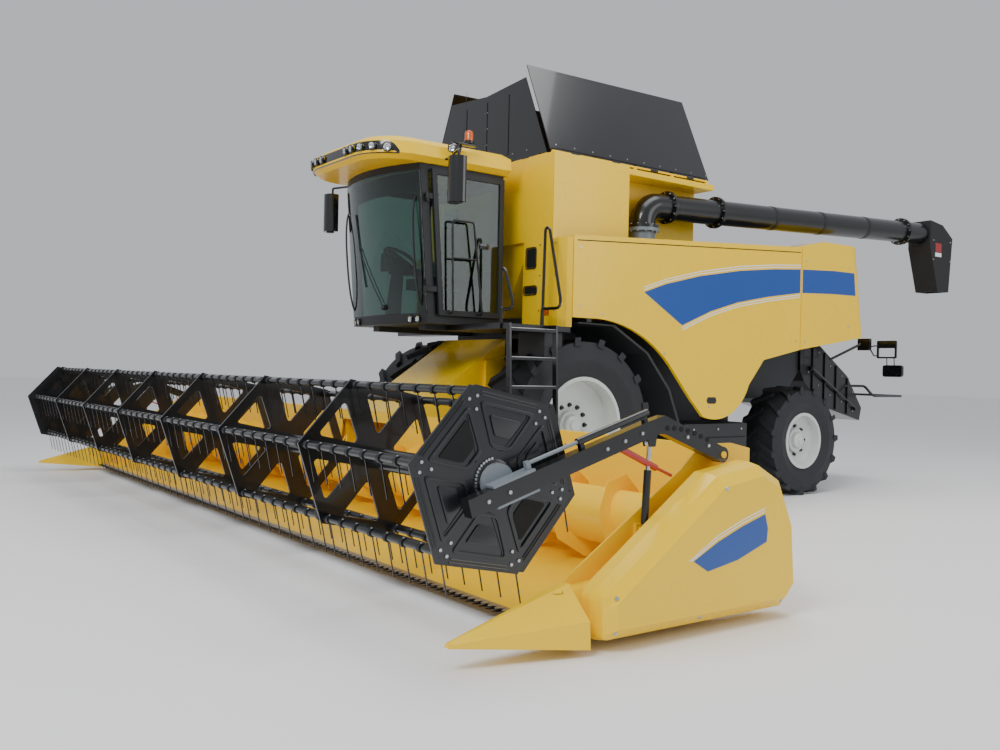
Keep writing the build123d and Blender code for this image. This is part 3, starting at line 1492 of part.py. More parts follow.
floor_front = KNIFE_Y + 2
BACK_TOP_Y = HEADER_BACK - 90
with BuildPart() as header_frame:
    upper = [(floor_front, KNIFE_Z - 20)]
    upper += [trough_point(turn, trough) for turn in TROUGH_TURNS]
    upper += [(BACK_TOP_Y, HEADER_TOP)]
    lower = [(floor_front, KNIFE_Z - 20 - SHEET)]
    lower += [trough_point(turn, trough + SHEET) for turn in TROUGH_TURNS]
    lower += [(BACK_TOP_Y + SHEET, HEADER_TOP)]
    slab(side(-CUT_HALF), upper + lower[::-1], 2 * CUT_HALF)
    # beams and ribs behind the sheet
    block((-CUT_HALF, CUT_HALF), (HEADER_BACK - 180, HEADER_BACK - 20), (170, 320))
    block((-CUT_HALF, CUT_HALF), (BACK_TOP_Y, HEADER_BACK), (HEADER_TOP - 90, HEADER_TOP))
    for across in (-5200, -3700, -2200, -800, 800, 2200, 3700, 5200):
        slab(
            side(across - 10),
            [
                trough_point(-62, trough + 3),
                (HEADER_BACK - 100, 180),
                (HEADER_BACK, 180),
                (HEADER_BACK, HEADER_TOP - 5),
                (BACK_TOP_Y + 5, HEADER_TOP - 5),
                trough_point(-5, trough + 8),
                trough_point(-30, trough + 8),
            ],
            20,
        )
    # the mouth to the feeder house, with the frame that its front face seats on
    block((-620, 620), (-2000, HEADER_BACK + 1), (345, 1000), mode=Mode.SUBTRACT)
    for across in (-690, 630):
        block((across, across + 60), (HEADER_BACK - 60, FEEDER_FRONT - SEAT_GAP), (200, HEADER_TOP))
    block((-690, 690), (HEADER_BACK - 60, FEEDER_FRONT - SEAT_GAP), (290, 345))
    block((-690, 690), (HEADER_BACK - 60, FEEDER_FRONT - SEAT_GAP), (1000, HEADER_TOP))
    for sign in (1, -1):
        slab(
            side(sign * CUT_HALF),
            [
                (KNIFE_Y - 50, 45),
                (KNIFE_Y - 50, 330),
                (KNIFE_Y + 20, 400),
                (-2430, 1000),
                (-2260, 1150),
                (-1950, 1150),
                (HEADER_BACK, HEADER_TOP),
                (HEADER_BACK, 170),
                (-2200, 60),
            ],
            sign * SHEET,
        )
        # pins of the reel arms and of their lift cylinders
        bar(
            (sign * CUT_HALF, ARM_PIVOT_Y, ARM_PIVOT_Z),
            (sign * (ARM_X + ARM_WIDTH + 10), ARM_PIVOT_Y, ARM_PIVOT_Z),
            ARM_PIN_RADIUS,
        )
        slab(
            side(sign * CUT_HALF),
            [
                (REEL_LIFT_BASE_Y - 30, 500),
                (REEL_LIFT_BASE_Y - 30, REEL_LIFT_BASE_Z + 30),
                (REEL_LIFT_BASE_Y + 40, REEL_LIFT_BASE_Z + 30),
                (REEL_LIFT_BASE_Y + 140, 500),
            ],
            sign * (ARM_X - CUT_HALF),
        )
        bar(
            (sign * CUT_HALF, REEL_LIFT_BASE_Y, REEL_LIFT_BASE_Z),
            (sign * (ARM_X + ARM_WIDTH - 5), REEL_LIFT_BASE_Y, REEL_LIFT_BASE_Z),
            REEL_PIN_RADIUS,
        )
        bar(
            (sign * (CUT_HALF - 1), AUGER_Y, AUGER_Z),
            (sign * (CUT_HALF + SHEET + 1), AUGER_Y, AUGER_Z),
            AUGER_SHAFT_RADIUS + PIN_GAP,
            mode=Mode.SUBTRACT,
        )
        # skids under the floor
        for across in (CUT_HALF - 500, 1500):
            slab(
                side(sign * across),
                [(-3050, 95), (-2950, 0), (-2350, 0), (-2250, 190), (-2450, 200)],
                sign * 180,
            )
save(header_frame.part, "header_frame")

# knife guards on their bar
guards = round(2 * CUT_HALF / GUARD_PITCH)
with BuildPart() as knife_guards:
    guard_top = KNIFE_Z - KNIFE_THICK - SEAT_GAP
    block((-CUT_HALF + SEAT_GAP, CUT_HALF - SEAT_GAP), (KNIFE_Y - 48, KNIFE_Y), (guard_top - 26, guard_top))
    with BuildSketch(front(KNIFE_Y - 40)) as guard_roots:
        with Locations((0, guard_top - 10)):
            with GridLocations(GUARD_PITCH, 1, guards, 1):
                Rectangle(24, 20)
    extrude(guard_roots.sketch, amount=GUARD_REACH - 40, taper=6)
save(knife_guards.part, "knife_guards")

# knife back bar, which slides on the guard bar
with BuildPart() as knife:
    block(
        (-CUT_HALF + KNIFE_STROKE + 8, CUT_HALF - KNIFE_STROKE - 8),
        (KNIFE_Y - 44, KNIFE_Y - 6),
        (KNIFE_Z - KNIFE_THICK, KNIFE_Z),
    )
save(knife.part, "knife")

# dividers and outer covers at both ends of the header
with BuildPart() as header_ends:
    sheet_out = CUT_HALF + SHEET + SEAT_GAP
    cover_in = ARM_X + ARM_WIDTH + 15
    for sign in (1, -1):
        divider_in = CUT_HALF + SEAT_GAP
        with BuildSketch(front(KNIFE_Y - 55)) as divider_root:
            with BuildLine():
                Polyline(
                    (sign * divider_in, 40),
                    (sign * divider_in, 250),
                    (sign * (divider_in + 40), 380),
                    (sign * (divider_in + 100), 380),
                    (sign * (COVER_OUT - 70), 200),
                    (sign * (COVER_OUT - 60), 40),
                    close=True,
                )
            make_face()
        with BuildSketch(front(DIVIDER_TIP_Y)) as divider_tip:
            with BuildLine():
                Polyline(
                    (sign * (DIVIDER_TIP_X - 20), DIVIDER_TIP_Z - 20),
                    (sign * (DIVIDER_TIP_X - 20), DIVIDER_TIP_Z),
                    (sign * (DIVIDER_TIP_X - 5), DIVIDER_TIP_Z + 8),
                    (sign * (DIVIDER_TIP_X + 5), DIVIDER_TIP_Z + 8),
                    (sign * (DIVIDER_TIP_X + 20), DIVIDER_TIP_Z),
                    (sign * (DIVIDER_TIP_X + 20), DIVIDER_TIP_Z - 20),
                    close=True,
                )
            make_face()
        loft(sections=[divider_root.sketch, divider_tip.sketch], ruled=True)
        slab(
            side(sign * sheet_out),
            [
                (KNIFE_Y - 56, 60),
                (KNIFE_Y - 56, 350),
                (KNIFE_Y + 60, 350),
                (-2600, 420),
                (-2200, 120),
                (-3200, 60),
            ],
            sign * (cover_in + 20 - sheet_out),
        )
        with BuildSketch(side(sign * cover_in)) as cover_outline:
            with BuildLine():
                Polyline(
                    (-3380, 60),
                    (-3400, 330),
                    (-2440, 990),
                    (-2030, 1050),
                    (-1800, 930),
                    (-1660, 640),
                    (-1620, 200),
                    (-1760, 60),
                    close=True,
                )
            make_face()
            fillet(cover_outline.vertices(), radius=COVER_CORNER)
        extrude(cover_outline.sketch, amount=sign * COVER_STEP)
        raised = cover_outline.sketch.moved(Location((sign * COVER_STEP, 0, 0)))
        extrude(raised, amount=sign * COVER_STEP, taper=12)
        brow = header_ends.faces().sort_by(Axis.X)[-1 if sign > 0 else 0]
        extrude(brow, amount=COVER_OUT - cover_in - 2 * COVER_STEP, taper=48)
save(header_ends.part, "header_ends")

# cross auger
with BuildPart() as header_auger:
    auger_end = CUT_HALF - 10
    bar((-auger_end, AUGER_Y, AUGER_Z), (auger_end, AUGER_Y, AUGER_Z), AUGER_TUBE_RADIUS)
    bar(
        (-CUT_HALF - SHEET, AUGER_Y, AUGER_Z),
        (CUT_HALF + SHEET, AUGER_Y, AUGER_Z),
        AUGER_SHAFT_RADIUS,
    )
    # flights of opposite hand, which carry the crop to the fingers in the middle
    flight_foot = AUGER_TUBE_RADIUS * cos(radians(180 / FLIGHT_STEPS)) - 5
    flight_length = auger_end - 30 - FLIGHT_START
    flight_pieces = round(FLIGHT_STEPS * flight_length / FLIGHT_PITCH)
    for sign in (1, -1):
        flight_sections = []
        for number in range(flight_pieces + 1):
            across = FLIGHT_START + flight_length * number / flight_pieces
            turn = radians(360 * across / FLIGHT_PITCH)
            outwards = Vector(0, cos(turn), sin(turn))
            section_plane = Plane(
                origin=at(sign * across, AUGER_Y, AUGER_Z),
                x_dir=outwards,
                z_dir=Vector(1, 0, 0).cross(outwards),
            )
            with BuildSketch(section_plane) as flight_section:
                with Locations(((flight_foot + AUGER_RADIUS) / 2, 0)):
                    Rectangle(AUGER_RADIUS - flight_foot, FLIGHT_THICK)
            flight_sections.append(flight_section.sketch)
        loft(sections=flight_sections, ruled=True)
    for number in range(12):
        turn = radians(30 + 150 * number)
        across = (number - 5.5) * 68
        bar(
            (across, AUGER_Y + 190 * cos(turn), AUGER_Z + 190 * sin(turn)),
            (across, AUGER_Y + FINGER_REACH * cos(turn), AUGER_Z + FINGER_REACH * sin(turn)),
            FINGER_RADIUS,
        )
save(header_auger.part, "header_auger")

# reel arms, kinked, on the header's side sheets
arm_slope = radians(ARM_SLOPE)


def on_arm(reach, rise):
    """A point by its reach forwards of the arm's bend and its rise above the arm's middle line."""
    return (
        ARM_BEND_Y - reach * cos(arm_slope) - rise * sin(arm_slope),
        ARM_BEND_Z - reach * sin(arm_slope) + rise * cos(arm_slope),
    )


arm_reach = (ARM_BEND_Y - ARM_FRONT_Y) / cos(arm_slope)
hub_reach = (ARM_BEND_Y - REEL_Y) / cos(arm_slope)
carriage_back = hub_reach - CARRIAGE_LENGTH / 2
carriage_front = hub_reach + CARRIAGE_LENGTH / 2
slide_z = 0.5 * ARM_DEPTH + 48
half = ARM_DEPTH / 2
with BuildPart() as reel_arms:
    for sign in (1, -1):
        slab(
            side(sign * ARM_X),
            [
                (ARM_PIVOT_Y, ARM_PIVOT_Z - half),
                (ARM_PIVOT_Y, ARM_PIVOT_Z + half),
                (ARM_BEND_Y + 60, ARM_BEND_Z + half + 12),
                on_arm(60, half),
                on_arm(arm_reach, half),
                on_arm(arm_reach, -half),
                on_arm(0, -half),
                (ARM_BEND_Y + 60, ARM_BEND_Z - half),
            ],
            sign * ARM_WIDTH,
        )
        bar(
            (sign * ARM_X, ARM_PIVOT_Y, ARM_PIVOT_Z),
            (sign * (ARM_X + ARM_WIDTH), ARM_PIVOT_Y, ARM_PIVOT_Z),
            half,
        )
        bar(
            (sign * (ARM_X - 1), ARM_PIVOT_Y, ARM_PIVOT_Z),
            (sign * (ARM_X + ARM_WIDTH + 1), ARM_PIVOT_Y, ARM_PIVOT_Z),
            ARM_PIN_RADIUS + PIN_GAP,
            mode=Mode.SUBTRACT,
        )
        # cheeks and pin at the lift rod's eye
        middle = ARM_X + ARM_WIDTH / 2
        for inner in (middle - REEL_EYE_HALF - 15, middle + REEL_EYE_HALF + 5):
            slab(
                side(sign * inner),
                [
                    (REEL_LIFT_EYE_Y - 26, REEL_LIFT_EYE_Z - 24),
                    (REEL_LIFT_EYE_Y + 26, REEL_LIFT_EYE_Z - 24),
                    (REEL_LIFT_EYE_Y + 50, ARM_BEND_Z),
                    (REEL_LIFT_EYE_Y - 50, ARM_BEND_Z - 20),
                ],
                sign * 10,
            )
        bar(
            (sign * (middle - REEL_EYE_HALF - 10), REEL_LIFT_EYE_Y, REEL_LIFT_EYE_Z),
            (sign * (middle + REEL_EYE_HALF + 10), REEL_LIFT_EYE_Y, REEL_LIFT_EYE_Z),
            REEL_PIN_RADIUS,
        )
        # slide cylinder along the top of the arm
        slide_barrel = [on_arm(reach, slide_z) for reach in (40, carriage_back - SLIDE_TRAVEL - 20)]
        bar((sign * middle, *slide_barrel[0]), (sign * middle, *slide_barrel[1]), SLIDE_RADIUS)
        for reach in (60, carriage_back - SLIDE_TRAVEL - 60):
            slab(
                side(sign * (middle - 15)),
                [
                    on_arm(reach, half - 2),
                    on_arm(reach, slide_z),
                    on_arm(reach + 30, slide_z),
                    on_arm(reach + 30, half - 2),
                ],
                sign * 30,
            )
        bore = [on_arm(reach, slide_z) for reach in (80, carriage_back - SLIDE_TRAVEL)]
        bar(
            (sign * middle, *bore[0]),
            (sign * middle, *bore[1]),
            SLIDE_ROD_RADIUS + PIN_GAP,
            mode=Mode.SUBTRACT,
        )
save(reel_arms.part, "reel_arms")

reel_barrels, reel_rods = cylinder_pair(
    ARM_X + ARM_WIDTH / 2,
    (REEL_LIFT_BASE_Y, REEL_LIFT_BASE_Z),
    (REEL_LIFT_EYE_Y, REEL_LIFT_EYE_Z),
    REEL_BARREL_RADIUS,
    REEL_ROD_RADIUS,
    REEL_PIN_RADIUS,
    REEL_EYE_HALF,
    REEL_BARREL_LENGTH,
    REEL_ROD_FOOT,
    REEL_EYE_DRIFT,
)
save(reel_barrels, "reel_lift_barrels")
save(reel_rods, "reel_lift_rods")

# carriages that carry the reel along its arms, each with its slide rod and eccentric hub
SHIELD_Y = REEL_Y - ECCENTRIC_OFFSET
shield_in = REEL_HALF - SHIELD_THICK
spindle_out = ARM_X - 12
with BuildPart() as reel_carriages:
    for sign in (1, -1):
        plate_in = ARM_X - SEAT_GAP - 20
        slab(
            side(sign * plate_in),
            [
                on_arm(carriage_back, -half - 14),
                on_arm(carriage_back, half + 14),
                on_arm(carriage_front, half + 14),
                on_arm(carriage_front, -half - 14),
            ],
            sign * 20,
        )
        for low, high in ((half + SEAT_GAP, half + 14), (-half - 14, -half - SEAT_GAP)):
            slab(
                side(sign * (plate_in + 10)),
                [
                    on_arm(carriage_back, low),
                    on_arm(carriage_back, high),
                    on_arm(carriage_front, high),
                    on_arm(carriage_front, low),
                ],
                sign * (ARM_WIDTH + 10),
            )
        slab(
            side(sign * (middle - 15)),
            [
                on_arm(carriage_back + 10, half + 10),
                on_arm(carriage_back + 10, slide_z + 15),
                on_arm(carriage_back + 40, slide_z + 15),
                on_arm(carriage_back + 40, half + 10),
            ],
            sign * 30,
        )
        rod_start = carriage_back - SLIDE_TRAVEL - 120
        rod_ends = [on_arm(reach, slide_z) for reach in (rod_start, carriage_back + 20)]
        bar((sign * middle, *rod_ends[0]), (sign * middle, *rod_ends[1]), SLIDE_ROD_RADIUS)
        bar(
            (sign * (shield_in - 1), SHIELD_Y, REEL_Z),
            (sign * (plate_in + 5), SHIELD_Y, REEL_Z),
            ECCENTRIC_RADIUS,
        )
        bar(
            (sign * (shield_in - 2), REEL_Y, REEL_Z),
            (sign * (spindle_out + 1), REEL_Y, REEL_Z),
            REEL_SHAFT_RADIUS + PIN_GAP,
            mode=Mode.SUBTRACT,
        )
save(reel_carriages.part, "reel_carriages")

# reel: centre tube, end plates and pressed spiders
spider_out = REEL_HALF - SHIELD_THICK - CRANK_THICK - 6
bay = 2 * spider_out / REEL_BAYS


def vertex(number, radius, centre_y):
    """A corner of the reel's hexagon."""
    turn = radians(REEL_PHASE + 360 / REEL_BARS * number)
    return (centre_y + radius * cos(turn), REEL_Z + radius * sin(turn))


def windows(plane, centre_y, tip, foot, half_turn, amount):
    """Cuts the rounded three-cornered windows between the arms of a six-sided plate."""
    with BuildSketch(mode=Mode.PRIVATE) as window:
        with BuildLine():
            Polyline(
                (tip, 0),
                (foot * cos(radians(half_turn)), foot * sin(radians(half_turn))),
                (foot * cos(radians(half_turn)), -foot * sin(radians(half_turn))),
                close=True,
            )
        make_face()
        fillet(window.vertices(), radius=WINDOW_CORNER)
    with BuildSketch(plane) as cuts:
        with Locations((centre_y, REEL_Z)):
            with PolarLocations(0, REEL_BARS, start_angle=REEL_PHASE + 180 / REEL_BARS):
                add(window.sketch)
    extrude(cuts.sketch, amount=amount, mode=Mode.SUBTRACT)


with BuildPart() as reel:
    bar((-spider_out, REEL_Y, REEL_Z), (spider_out, REEL_Y, REEL_Z), REEL_TUBE_RADIUS)
    for sign in (1, -1):
        bar(
            (sign * (spider_out - 5), REEL_Y, REEL_Z),
            (sign * spindle_out, REEL_Y, REEL_Z),
            REEL_SHAFT_RADIUS,
        )
    for number in range(REEL_BAYS + 1):
        x = -spider_out + number * bay
        low = x if number == 0 else x - SPIDER_THICK if number == REEL_BAYS else x - SPIDER_THICK / 2
        slab(
            side(low),
            [vertex(i, REEL_RADIUS + SPIDER_BOSS, REEL_Y) for i in range(REEL_BARS)],
            SPIDER_THICK,
        )
        windows(side(low - 1), REEL_Y, 150, 455, 20, SPIDER_THICK + 2)
        for i in range(REEL_BARS):
            spot = vertex(i, REEL_RADIUS, REEL_Y)
            bar((low - 1, *spot), (low + SPIDER_THICK + 1, *spot), BAR_RADIUS + PIN_GAP, mode=Mode.SUBTRACT)
save(reel.part, "reel")

# eccentric end shields that keep the tine bars upright as the reel turns
with BuildPart() as reel_shields:
    for sign in (1, -1):
        slab(
            side(sign * shield_in),
            [vertex(i, REEL_RADIUS + SPIDER_BOSS, SHIELD_Y) for i in range(REEL_BARS)],
            sign * SHIELD_THICK,
        )
        # pressed pockets in the outer face
        windows(side(sign * (REEL_HALF + 1)), SHIELD_Y, 150, 450, 22, -sign * (POCKET_DEPTH + 1))
        bar(
            (sign * (shield_in - 1), SHIELD_Y, REEL_Z),
            (sign * (REEL_HALF + 1), SHIELD_Y, REEL_Z),
            ECCENTRIC_RADIUS + PIN_GAP,
            mode=Mode.SUBTRACT,
        )
        for i in range(REEL_BARS):
            spot = vertex(i, REEL_RADIUS, SHIELD_Y)
            bar(
                (sign * (shield_in - 1), *spot),
                (sign * (REEL_HALF + 1), *spot),
                CRANK_PIN_RADIUS + PIN_GAP,
                mode=Mode.SUBTRACT,
            )
save(reel_shields.part, "reel_shields")

# tine bars, each turning in the spiders, with a crank at each end on the shields
rake = radians(TINE_RAKE)
crank_in = shield_in - CRANK_THICK - 1
tine_pitch = (bay - 140) / (TINES_PER_BAY - 1)
with BuildPart() as bar_shape:
    with Locations(Rotation(0, 90, 0)):
        Cylinder(BAR_RADIUS, 2 * shield_in - 2)
    for sign in (1, -1):
        with Locations((sign * (crank_in + CRANK_THICK / 2), -ECCENTRIC_OFFSET / 2, 0)):
            Box(CRANK_THICK, ECCENTRIC_OFFSET, 28)
        with Locations(Location((sign * (crank_in + REEL_HALF) / 2, -ECCENTRIC_OFFSET, 0), (0, 90, 0))):
            Cylinder(CRANK_PIN_RADIUS, REEL_HALF - crank_in)
    with BuildSketch(Plane(origin=(0, 0, 0), x_dir=(1, 0, 0), z_dir=(0, sin(rake), -cos(rake)))) as roots:
        with GridLocations(bay, 1, REEL_BAYS, 1):
            with GridLocations(tine_pitch, 1, TINES_PER_BAY, 1):
                Rectangle(TINE_WIDTH, TINE_WIDTH)
    extrude(roots.sketch, amount=TINE_LENGTH)
for i in range(REEL_BARS):
    bar_y, bar_z = vertex(i, REEL_RADIUS, REEL_Y)
    save(bar_shape.part.moved(Location(at(0, bar_y, bar_z))), f"tine_bar_{i + 1}")
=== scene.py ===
"""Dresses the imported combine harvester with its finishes, lamps, bands, fasteners and other small pieces.

Everything is in metres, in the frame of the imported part. Lengths along the machine are measured from
the front axle, backwards, as in the part's own source.
"""

import json
import logging
from contextlib import contextmanager
from dataclasses import dataclass
from enum import Enum
from math import cos, pi, radians, sin
from typing import Iterable, Iterator, Sequence

import bmesh
import bpy
from mathutils import Matrix, Vector
from mathutils.bvhtree import BVHTree


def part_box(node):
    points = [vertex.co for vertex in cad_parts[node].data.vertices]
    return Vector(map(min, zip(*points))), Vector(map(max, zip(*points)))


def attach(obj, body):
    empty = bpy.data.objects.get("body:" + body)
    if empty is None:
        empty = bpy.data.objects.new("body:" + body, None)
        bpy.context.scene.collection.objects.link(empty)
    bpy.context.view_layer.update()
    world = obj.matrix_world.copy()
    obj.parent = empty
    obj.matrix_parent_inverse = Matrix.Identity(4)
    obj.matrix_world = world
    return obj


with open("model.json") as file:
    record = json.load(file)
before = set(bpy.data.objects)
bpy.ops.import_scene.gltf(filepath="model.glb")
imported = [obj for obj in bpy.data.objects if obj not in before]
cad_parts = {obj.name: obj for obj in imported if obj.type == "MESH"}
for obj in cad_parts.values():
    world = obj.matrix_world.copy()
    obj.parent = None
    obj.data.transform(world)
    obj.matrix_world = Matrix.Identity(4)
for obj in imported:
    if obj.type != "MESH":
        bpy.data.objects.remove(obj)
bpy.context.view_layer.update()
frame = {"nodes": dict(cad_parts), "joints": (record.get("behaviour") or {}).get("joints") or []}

LOG = logging.getLogger("combine")
JOINTS = {joint["name"]: joint for joint in frame["joints"]}
AXLE_Y = JOINTS["front_wheel_left_spin"]["pos_m"][1]
SMOOTH_ANGLE = radians(34)
WELD = 0.00005
UP = Vector((0, 0, 1))
BACKWARDS = Vector((0, 1, 0))

Point = tuple[float, float, float]
Flat = tuple[float, float]
Colour = tuple[float, float, float, float]
Place = tuple[Vector, Vector]
Shape = bmesh.types.BMesh
Tree = bpy.types.NodeTree
Socket = bpy.types.NodeSocket


def at(x: float, back: float, z: float) -> Vector:
    """A point whose length along the machine is measured from the front axle."""
    return Vector((x, AXLE_Y + back, z))


def linear(code: str) -> Colour:
    """Turns an sRGB colour, six hex digits after a hash, into the linear values that shaders take."""
    parts = [int(code[i : i + 2], 16) / 255 for i in (1, 3, 5)]
    tones = [c / 12.92 if c <= 0.04045 else ((c + 0.055) / 1.055) ** 2.4 for c in parts]
    return (tones[0], tones[1], tones[2], 1.0)


def shade(code: str, factor: float) -> Colour:
    """The same colour made lighter or darker by a factor, as linear values."""
    red, green, blue, alpha = linear(code)
    return (min(1.0, red * factor), min(1.0, green * factor), min(1.0, blue * factor), alpha)


def add_node(tree: Tree, kind: str, inputs: dict | None = None, **settings: object) -> bpy.types.Node:
    """Adds a node with its settings, and sets or links its inputs.

    Args:
        tree: The node tree that gets the node.
        kind: The node's type name.
        inputs: Values or output sockets by the input's name or number.
        **settings: Attributes of the node.

    Returns:
        The new node.
    """
    node = tree.nodes.new(kind)
    for name, value in settings.items():
        setattr(node, name, value)
    for key, value in (inputs or {}).items():
        if isinstance(value, Socket):
            tree.links.new(value, node.inputs[key])
        else:
            node.inputs[key].default_value = value
    return node


def noise(tree: Tree, spot: Socket, width_mm: float, detail: float) -> Socket:
    """A cloudy pattern with spots of a width."""
    inputs = {"Vector": spot, "Scale": 1000 / width_mm, "Detail": detail}
    return add_node(tree, "ShaderNodeTexNoise", inputs).outputs[0]


def wave(tree: Tree, spot: Socket, width_mm: float, **settings: str) -> Socket:
    """Even bands or rings of a width."""
    inputs = {"Vector": spot, "Scale": 1000 / width_mm / 20 * pi}
    return add_node(tree, "ShaderNodeTexWave", inputs, **settings).outputs[1]


def glossed(tree: Tree, shader: bpy.types.Node, value: Socket, low: float, high: float) -> None:
    """Lets the roughness run from low to high with a pattern."""
    inputs = {"Value": value, "To Min": low, "To Max": high}
    tree.links.new(add_node(tree, "ShaderNodeMapRange", inputs).outputs[0], shader.inputs["Roughness"])


def embossed(
    tree: Tree, shader: bpy.types.Node, height: Socket, depth: float, strength: float, over: bool = False
) -> None:
    """Gives a shader relief from a pattern.

    Args:
        tree: The material's node tree.
        shader: The shader.
        height: The pattern.
        depth: Depth of the relief.
        strength: Its strength.
        over: True if it lies over the relief that the shader already has, False if it takes its place.
    """
    inputs = {"Height": height, "Distance": depth, "Strength": strength}
    if over:
        inputs["Normal"] = shader.inputs["Normal"].links[0].from_socket
    tree.links.new(add_node(tree, "ShaderNodeBump", inputs).outputs[0], shader.inputs["Normal"])


# finishes


@dataclass(frozen=True)
class Finish:
    """A surface as it was made, with the widths in millimetres of the patterns that reach the eye."""

    name: str
    slot: str
    colour: str
    roughness: float
    metallic: float = 0.0
    coat: float = 0.0
    drift_mm: float = 600.0
    drift: float = 0.05
    grain_mm: float = 12.0
    grain_depth_mm: float = 0.05
    grain_stretch: Point = (1.0, 1.0, 1.0)
    scuff: float = 0.08

    def material(self) -> bpy.types.Material:
        """Makes the material once and returns it."""
        made = bpy.data.materials.get(self.name)
        if made is not None:
            return made
        made = bpy.data.materials.new(self.name)
        made.use_nodes = True
        tree = made.node_tree
        tree.nodes.clear()
        inputs = {"Metallic": self.metallic, "Coat Weight": self.coat, "Coat Roughness": 0.05}
        shader = add_node(tree, "ShaderNodeBsdfPrincipled", inputs)
        add_node(tree, "ShaderNodeOutputMaterial", {"Surface": shader.outputs[0]})
        self.dress(tree, shader, add_node(tree, "ShaderNodeTexCoord").outputs["Object"])
        return made

    def dress(self, tree: Tree, shader: bpy.types.Node, spot: Socket) -> None:
        """Colour, gloss and grain that vary over the surface."""
        cloud = noise(tree, spot, self.drift_mm, 3.0)
        tone = add_node(tree, "ShaderNodeMix", {"Factor": cloud}, data_type="RGBA")
        tone.inputs[6].default_value = shade(self.colour, 1 - self.drift)
        tone.inputs[7].default_value = shade(self.colour, 1 + self.drift)
        tree.links.new(tone.outputs[2], shader.inputs["Base Color"])
        glossed(tree, shader, cloud, max(0.02, self.roughness - self.scuff), self.roughness + self.scuff)
        drawn = add_node(tree, "ShaderNodeMapping", {"Vector": spot, "Scale": self.grain_stretch})
        grain = noise(tree, drawn.outputs[0], self.grain_mm, 2.0)
        embossed(tree, shader, grain, self.grain_depth_mm / 1000, 1.0)


@dataclass(frozen=True)
class TyreRubber(Finish):
    """Vulcanised rubber with the moulded rings of a sidewall round the wheel's centre."""

    centre: Point = (0.0, 0.0, 0.0)
    ring_mm: float = 46.0

    def dress(self, tree: Tree, shader: bpy.types.Node, spot: Socket) -> None:
        """Rings, dull patches and a fine grain."""
        super().dress(tree, shader, spot)
        middle = add_node(tree, "ShaderNodeMapping", {"Vector": spot, "Location": [-c for c in self.centre]})
        rings = wave(tree, middle.outputs[0], self.ring_mm, wave_type="RINGS", rings_direction="X")
        embossed(tree, shader, rings, 0.0025, 0.5, over=True)


@dataclass(frozen=True)
class Weave(Finish):
    """Woven seat cloth; its threads are drawn coarser than real, so that they show."""

    thread_mm: float = 5.0

    def dress(self, tree: Tree, shader: bpy.types.Node, spot: Socket) -> None:
        """Two crossing sets of threads."""
        super().dress(tree, shader, spot)
        shader.inputs["Sheen Weight"].default_value = 0.4
        warp, weft = (wave(tree, spot, self.thread_mm, bands_direction=axis) for axis in "XZ")
        cross = add_node(tree, "ShaderNodeMath", {0: warp, 1: weft}, operation="MAXIMUM")
        embossed(tree, shader, cross.outputs[0], 0.001, 0.6)


@dataclass(frozen=True)
class ClearPane(Finish):
    """Float glass or clear polycarbonate with a faint body tint and wiped smears."""

    index: float = 1.5

    def dress(self, tree: Tree, shader: bpy.types.Node, spot: Socket) -> None:
        """Tint, clearness and smears."""
        shader.inputs["Base Color"].default_value = linear(self.colour)
        shader.inputs["Transmission Weight"].default_value = 1.0
        shader.inputs["IOR"].default_value = self.index
        smear = noise(tree, spot, self.drift_mm, 4.0)
        glossed(tree, shader, smear, self.roughness, self.roughness + self.scuff)


@dataclass(frozen=True)
class PressedLens(Finish):
    """Coloured acrylic lens with the moulded squares that spread a lamp's light."""

    facet_mm: float = 9.0

    def dress(self, tree: Tree, shader: bpy.types.Node, spot: Socket) -> None:
        """Moulded facets under a clear surface."""
        super().dress(tree, shader, spot)
        shader.inputs["Transmission Weight"].default_value = 0.35
        inputs = {"Vector": spot, "Scale": 1000 / self.facet_mm, "Randomness": 0.0}
        cells = add_node(tree, "ShaderNodeTexVoronoi", inputs, distance="CHEBYCHEV")
        embossed(tree, shader, cells.outputs[0], 0.002, 0.7)


# stoved gloss enamel on sheet steel: a deep clear sheen with a faint orange peel
YELLOW_ENAMEL = Finish(
    "yellow_gloss_enamel", "yellow_paint", "#FFD000", 0.28, coat=0.1, drift=0.03, grain_mm=16,
    grain_depth_mm=0.04,
)
# the same enamel inside the header, dulled a little by handling
HEADER_ENAMEL = Finish(
    "yellow_header_enamel", "yellow_paint", "#FFCA02", 0.38, coat=0.05, drift=0.06, grain_mm=20,
    grain_depth_mm=0.06,
)
# powder coat on welded frames: charcoal, with an eggshell sheen
CHARCOAL_COAT = Finish(
    "charcoal_powder_coat", "frame_paint", "#2B3034", 0.46, grain_mm=7, grain_depth_mm=0.08
)
# two-pack black on rails, tubes and reel: glossy, with soft highlights
BLACK_ENAMEL = Finish(
    "black_gloss_enamel", "black_paint", "#0D0F11", 0.3, coat=0.4, drift=0.12, grain_mm=14
)
# pressed sheet in black enamel, blown smooth: the tank covers mirror the sky
COVER_ENAMEL = Finish(
    "black_sheet_enamel", "dark_moulding", "#0C0F12", 0.22, coat=0.5, drift=0.1, drift_mm=900,
    grain_mm=60, scuff=0.05,
)
# thermoformed sheet, charcoal, satin
SHIELD_SHEET = Finish(
    "charcoal_formed_sheet", "dark_moulding", "#171B1E", 0.3, coat=0.4, grain_mm=9, grain_depth_mm=0.06
)
# injection-moulded polypropylene with a leather-like grain
BLACK_MOULDING = Finish(
    "black_grained_moulding", "black_moulding", "#191C1F", 0.5, drift=0.1, grain_mm=5,
    grain_depth_mm=0.18,
)
GLOSS_MOULDING = Finish(
    "black_gloss_moulding", "black_moulding", "#0F1214", 0.16, coat=0.6, drift=0.1, grain_mm=30,
    grain_depth_mm=0.03,
)
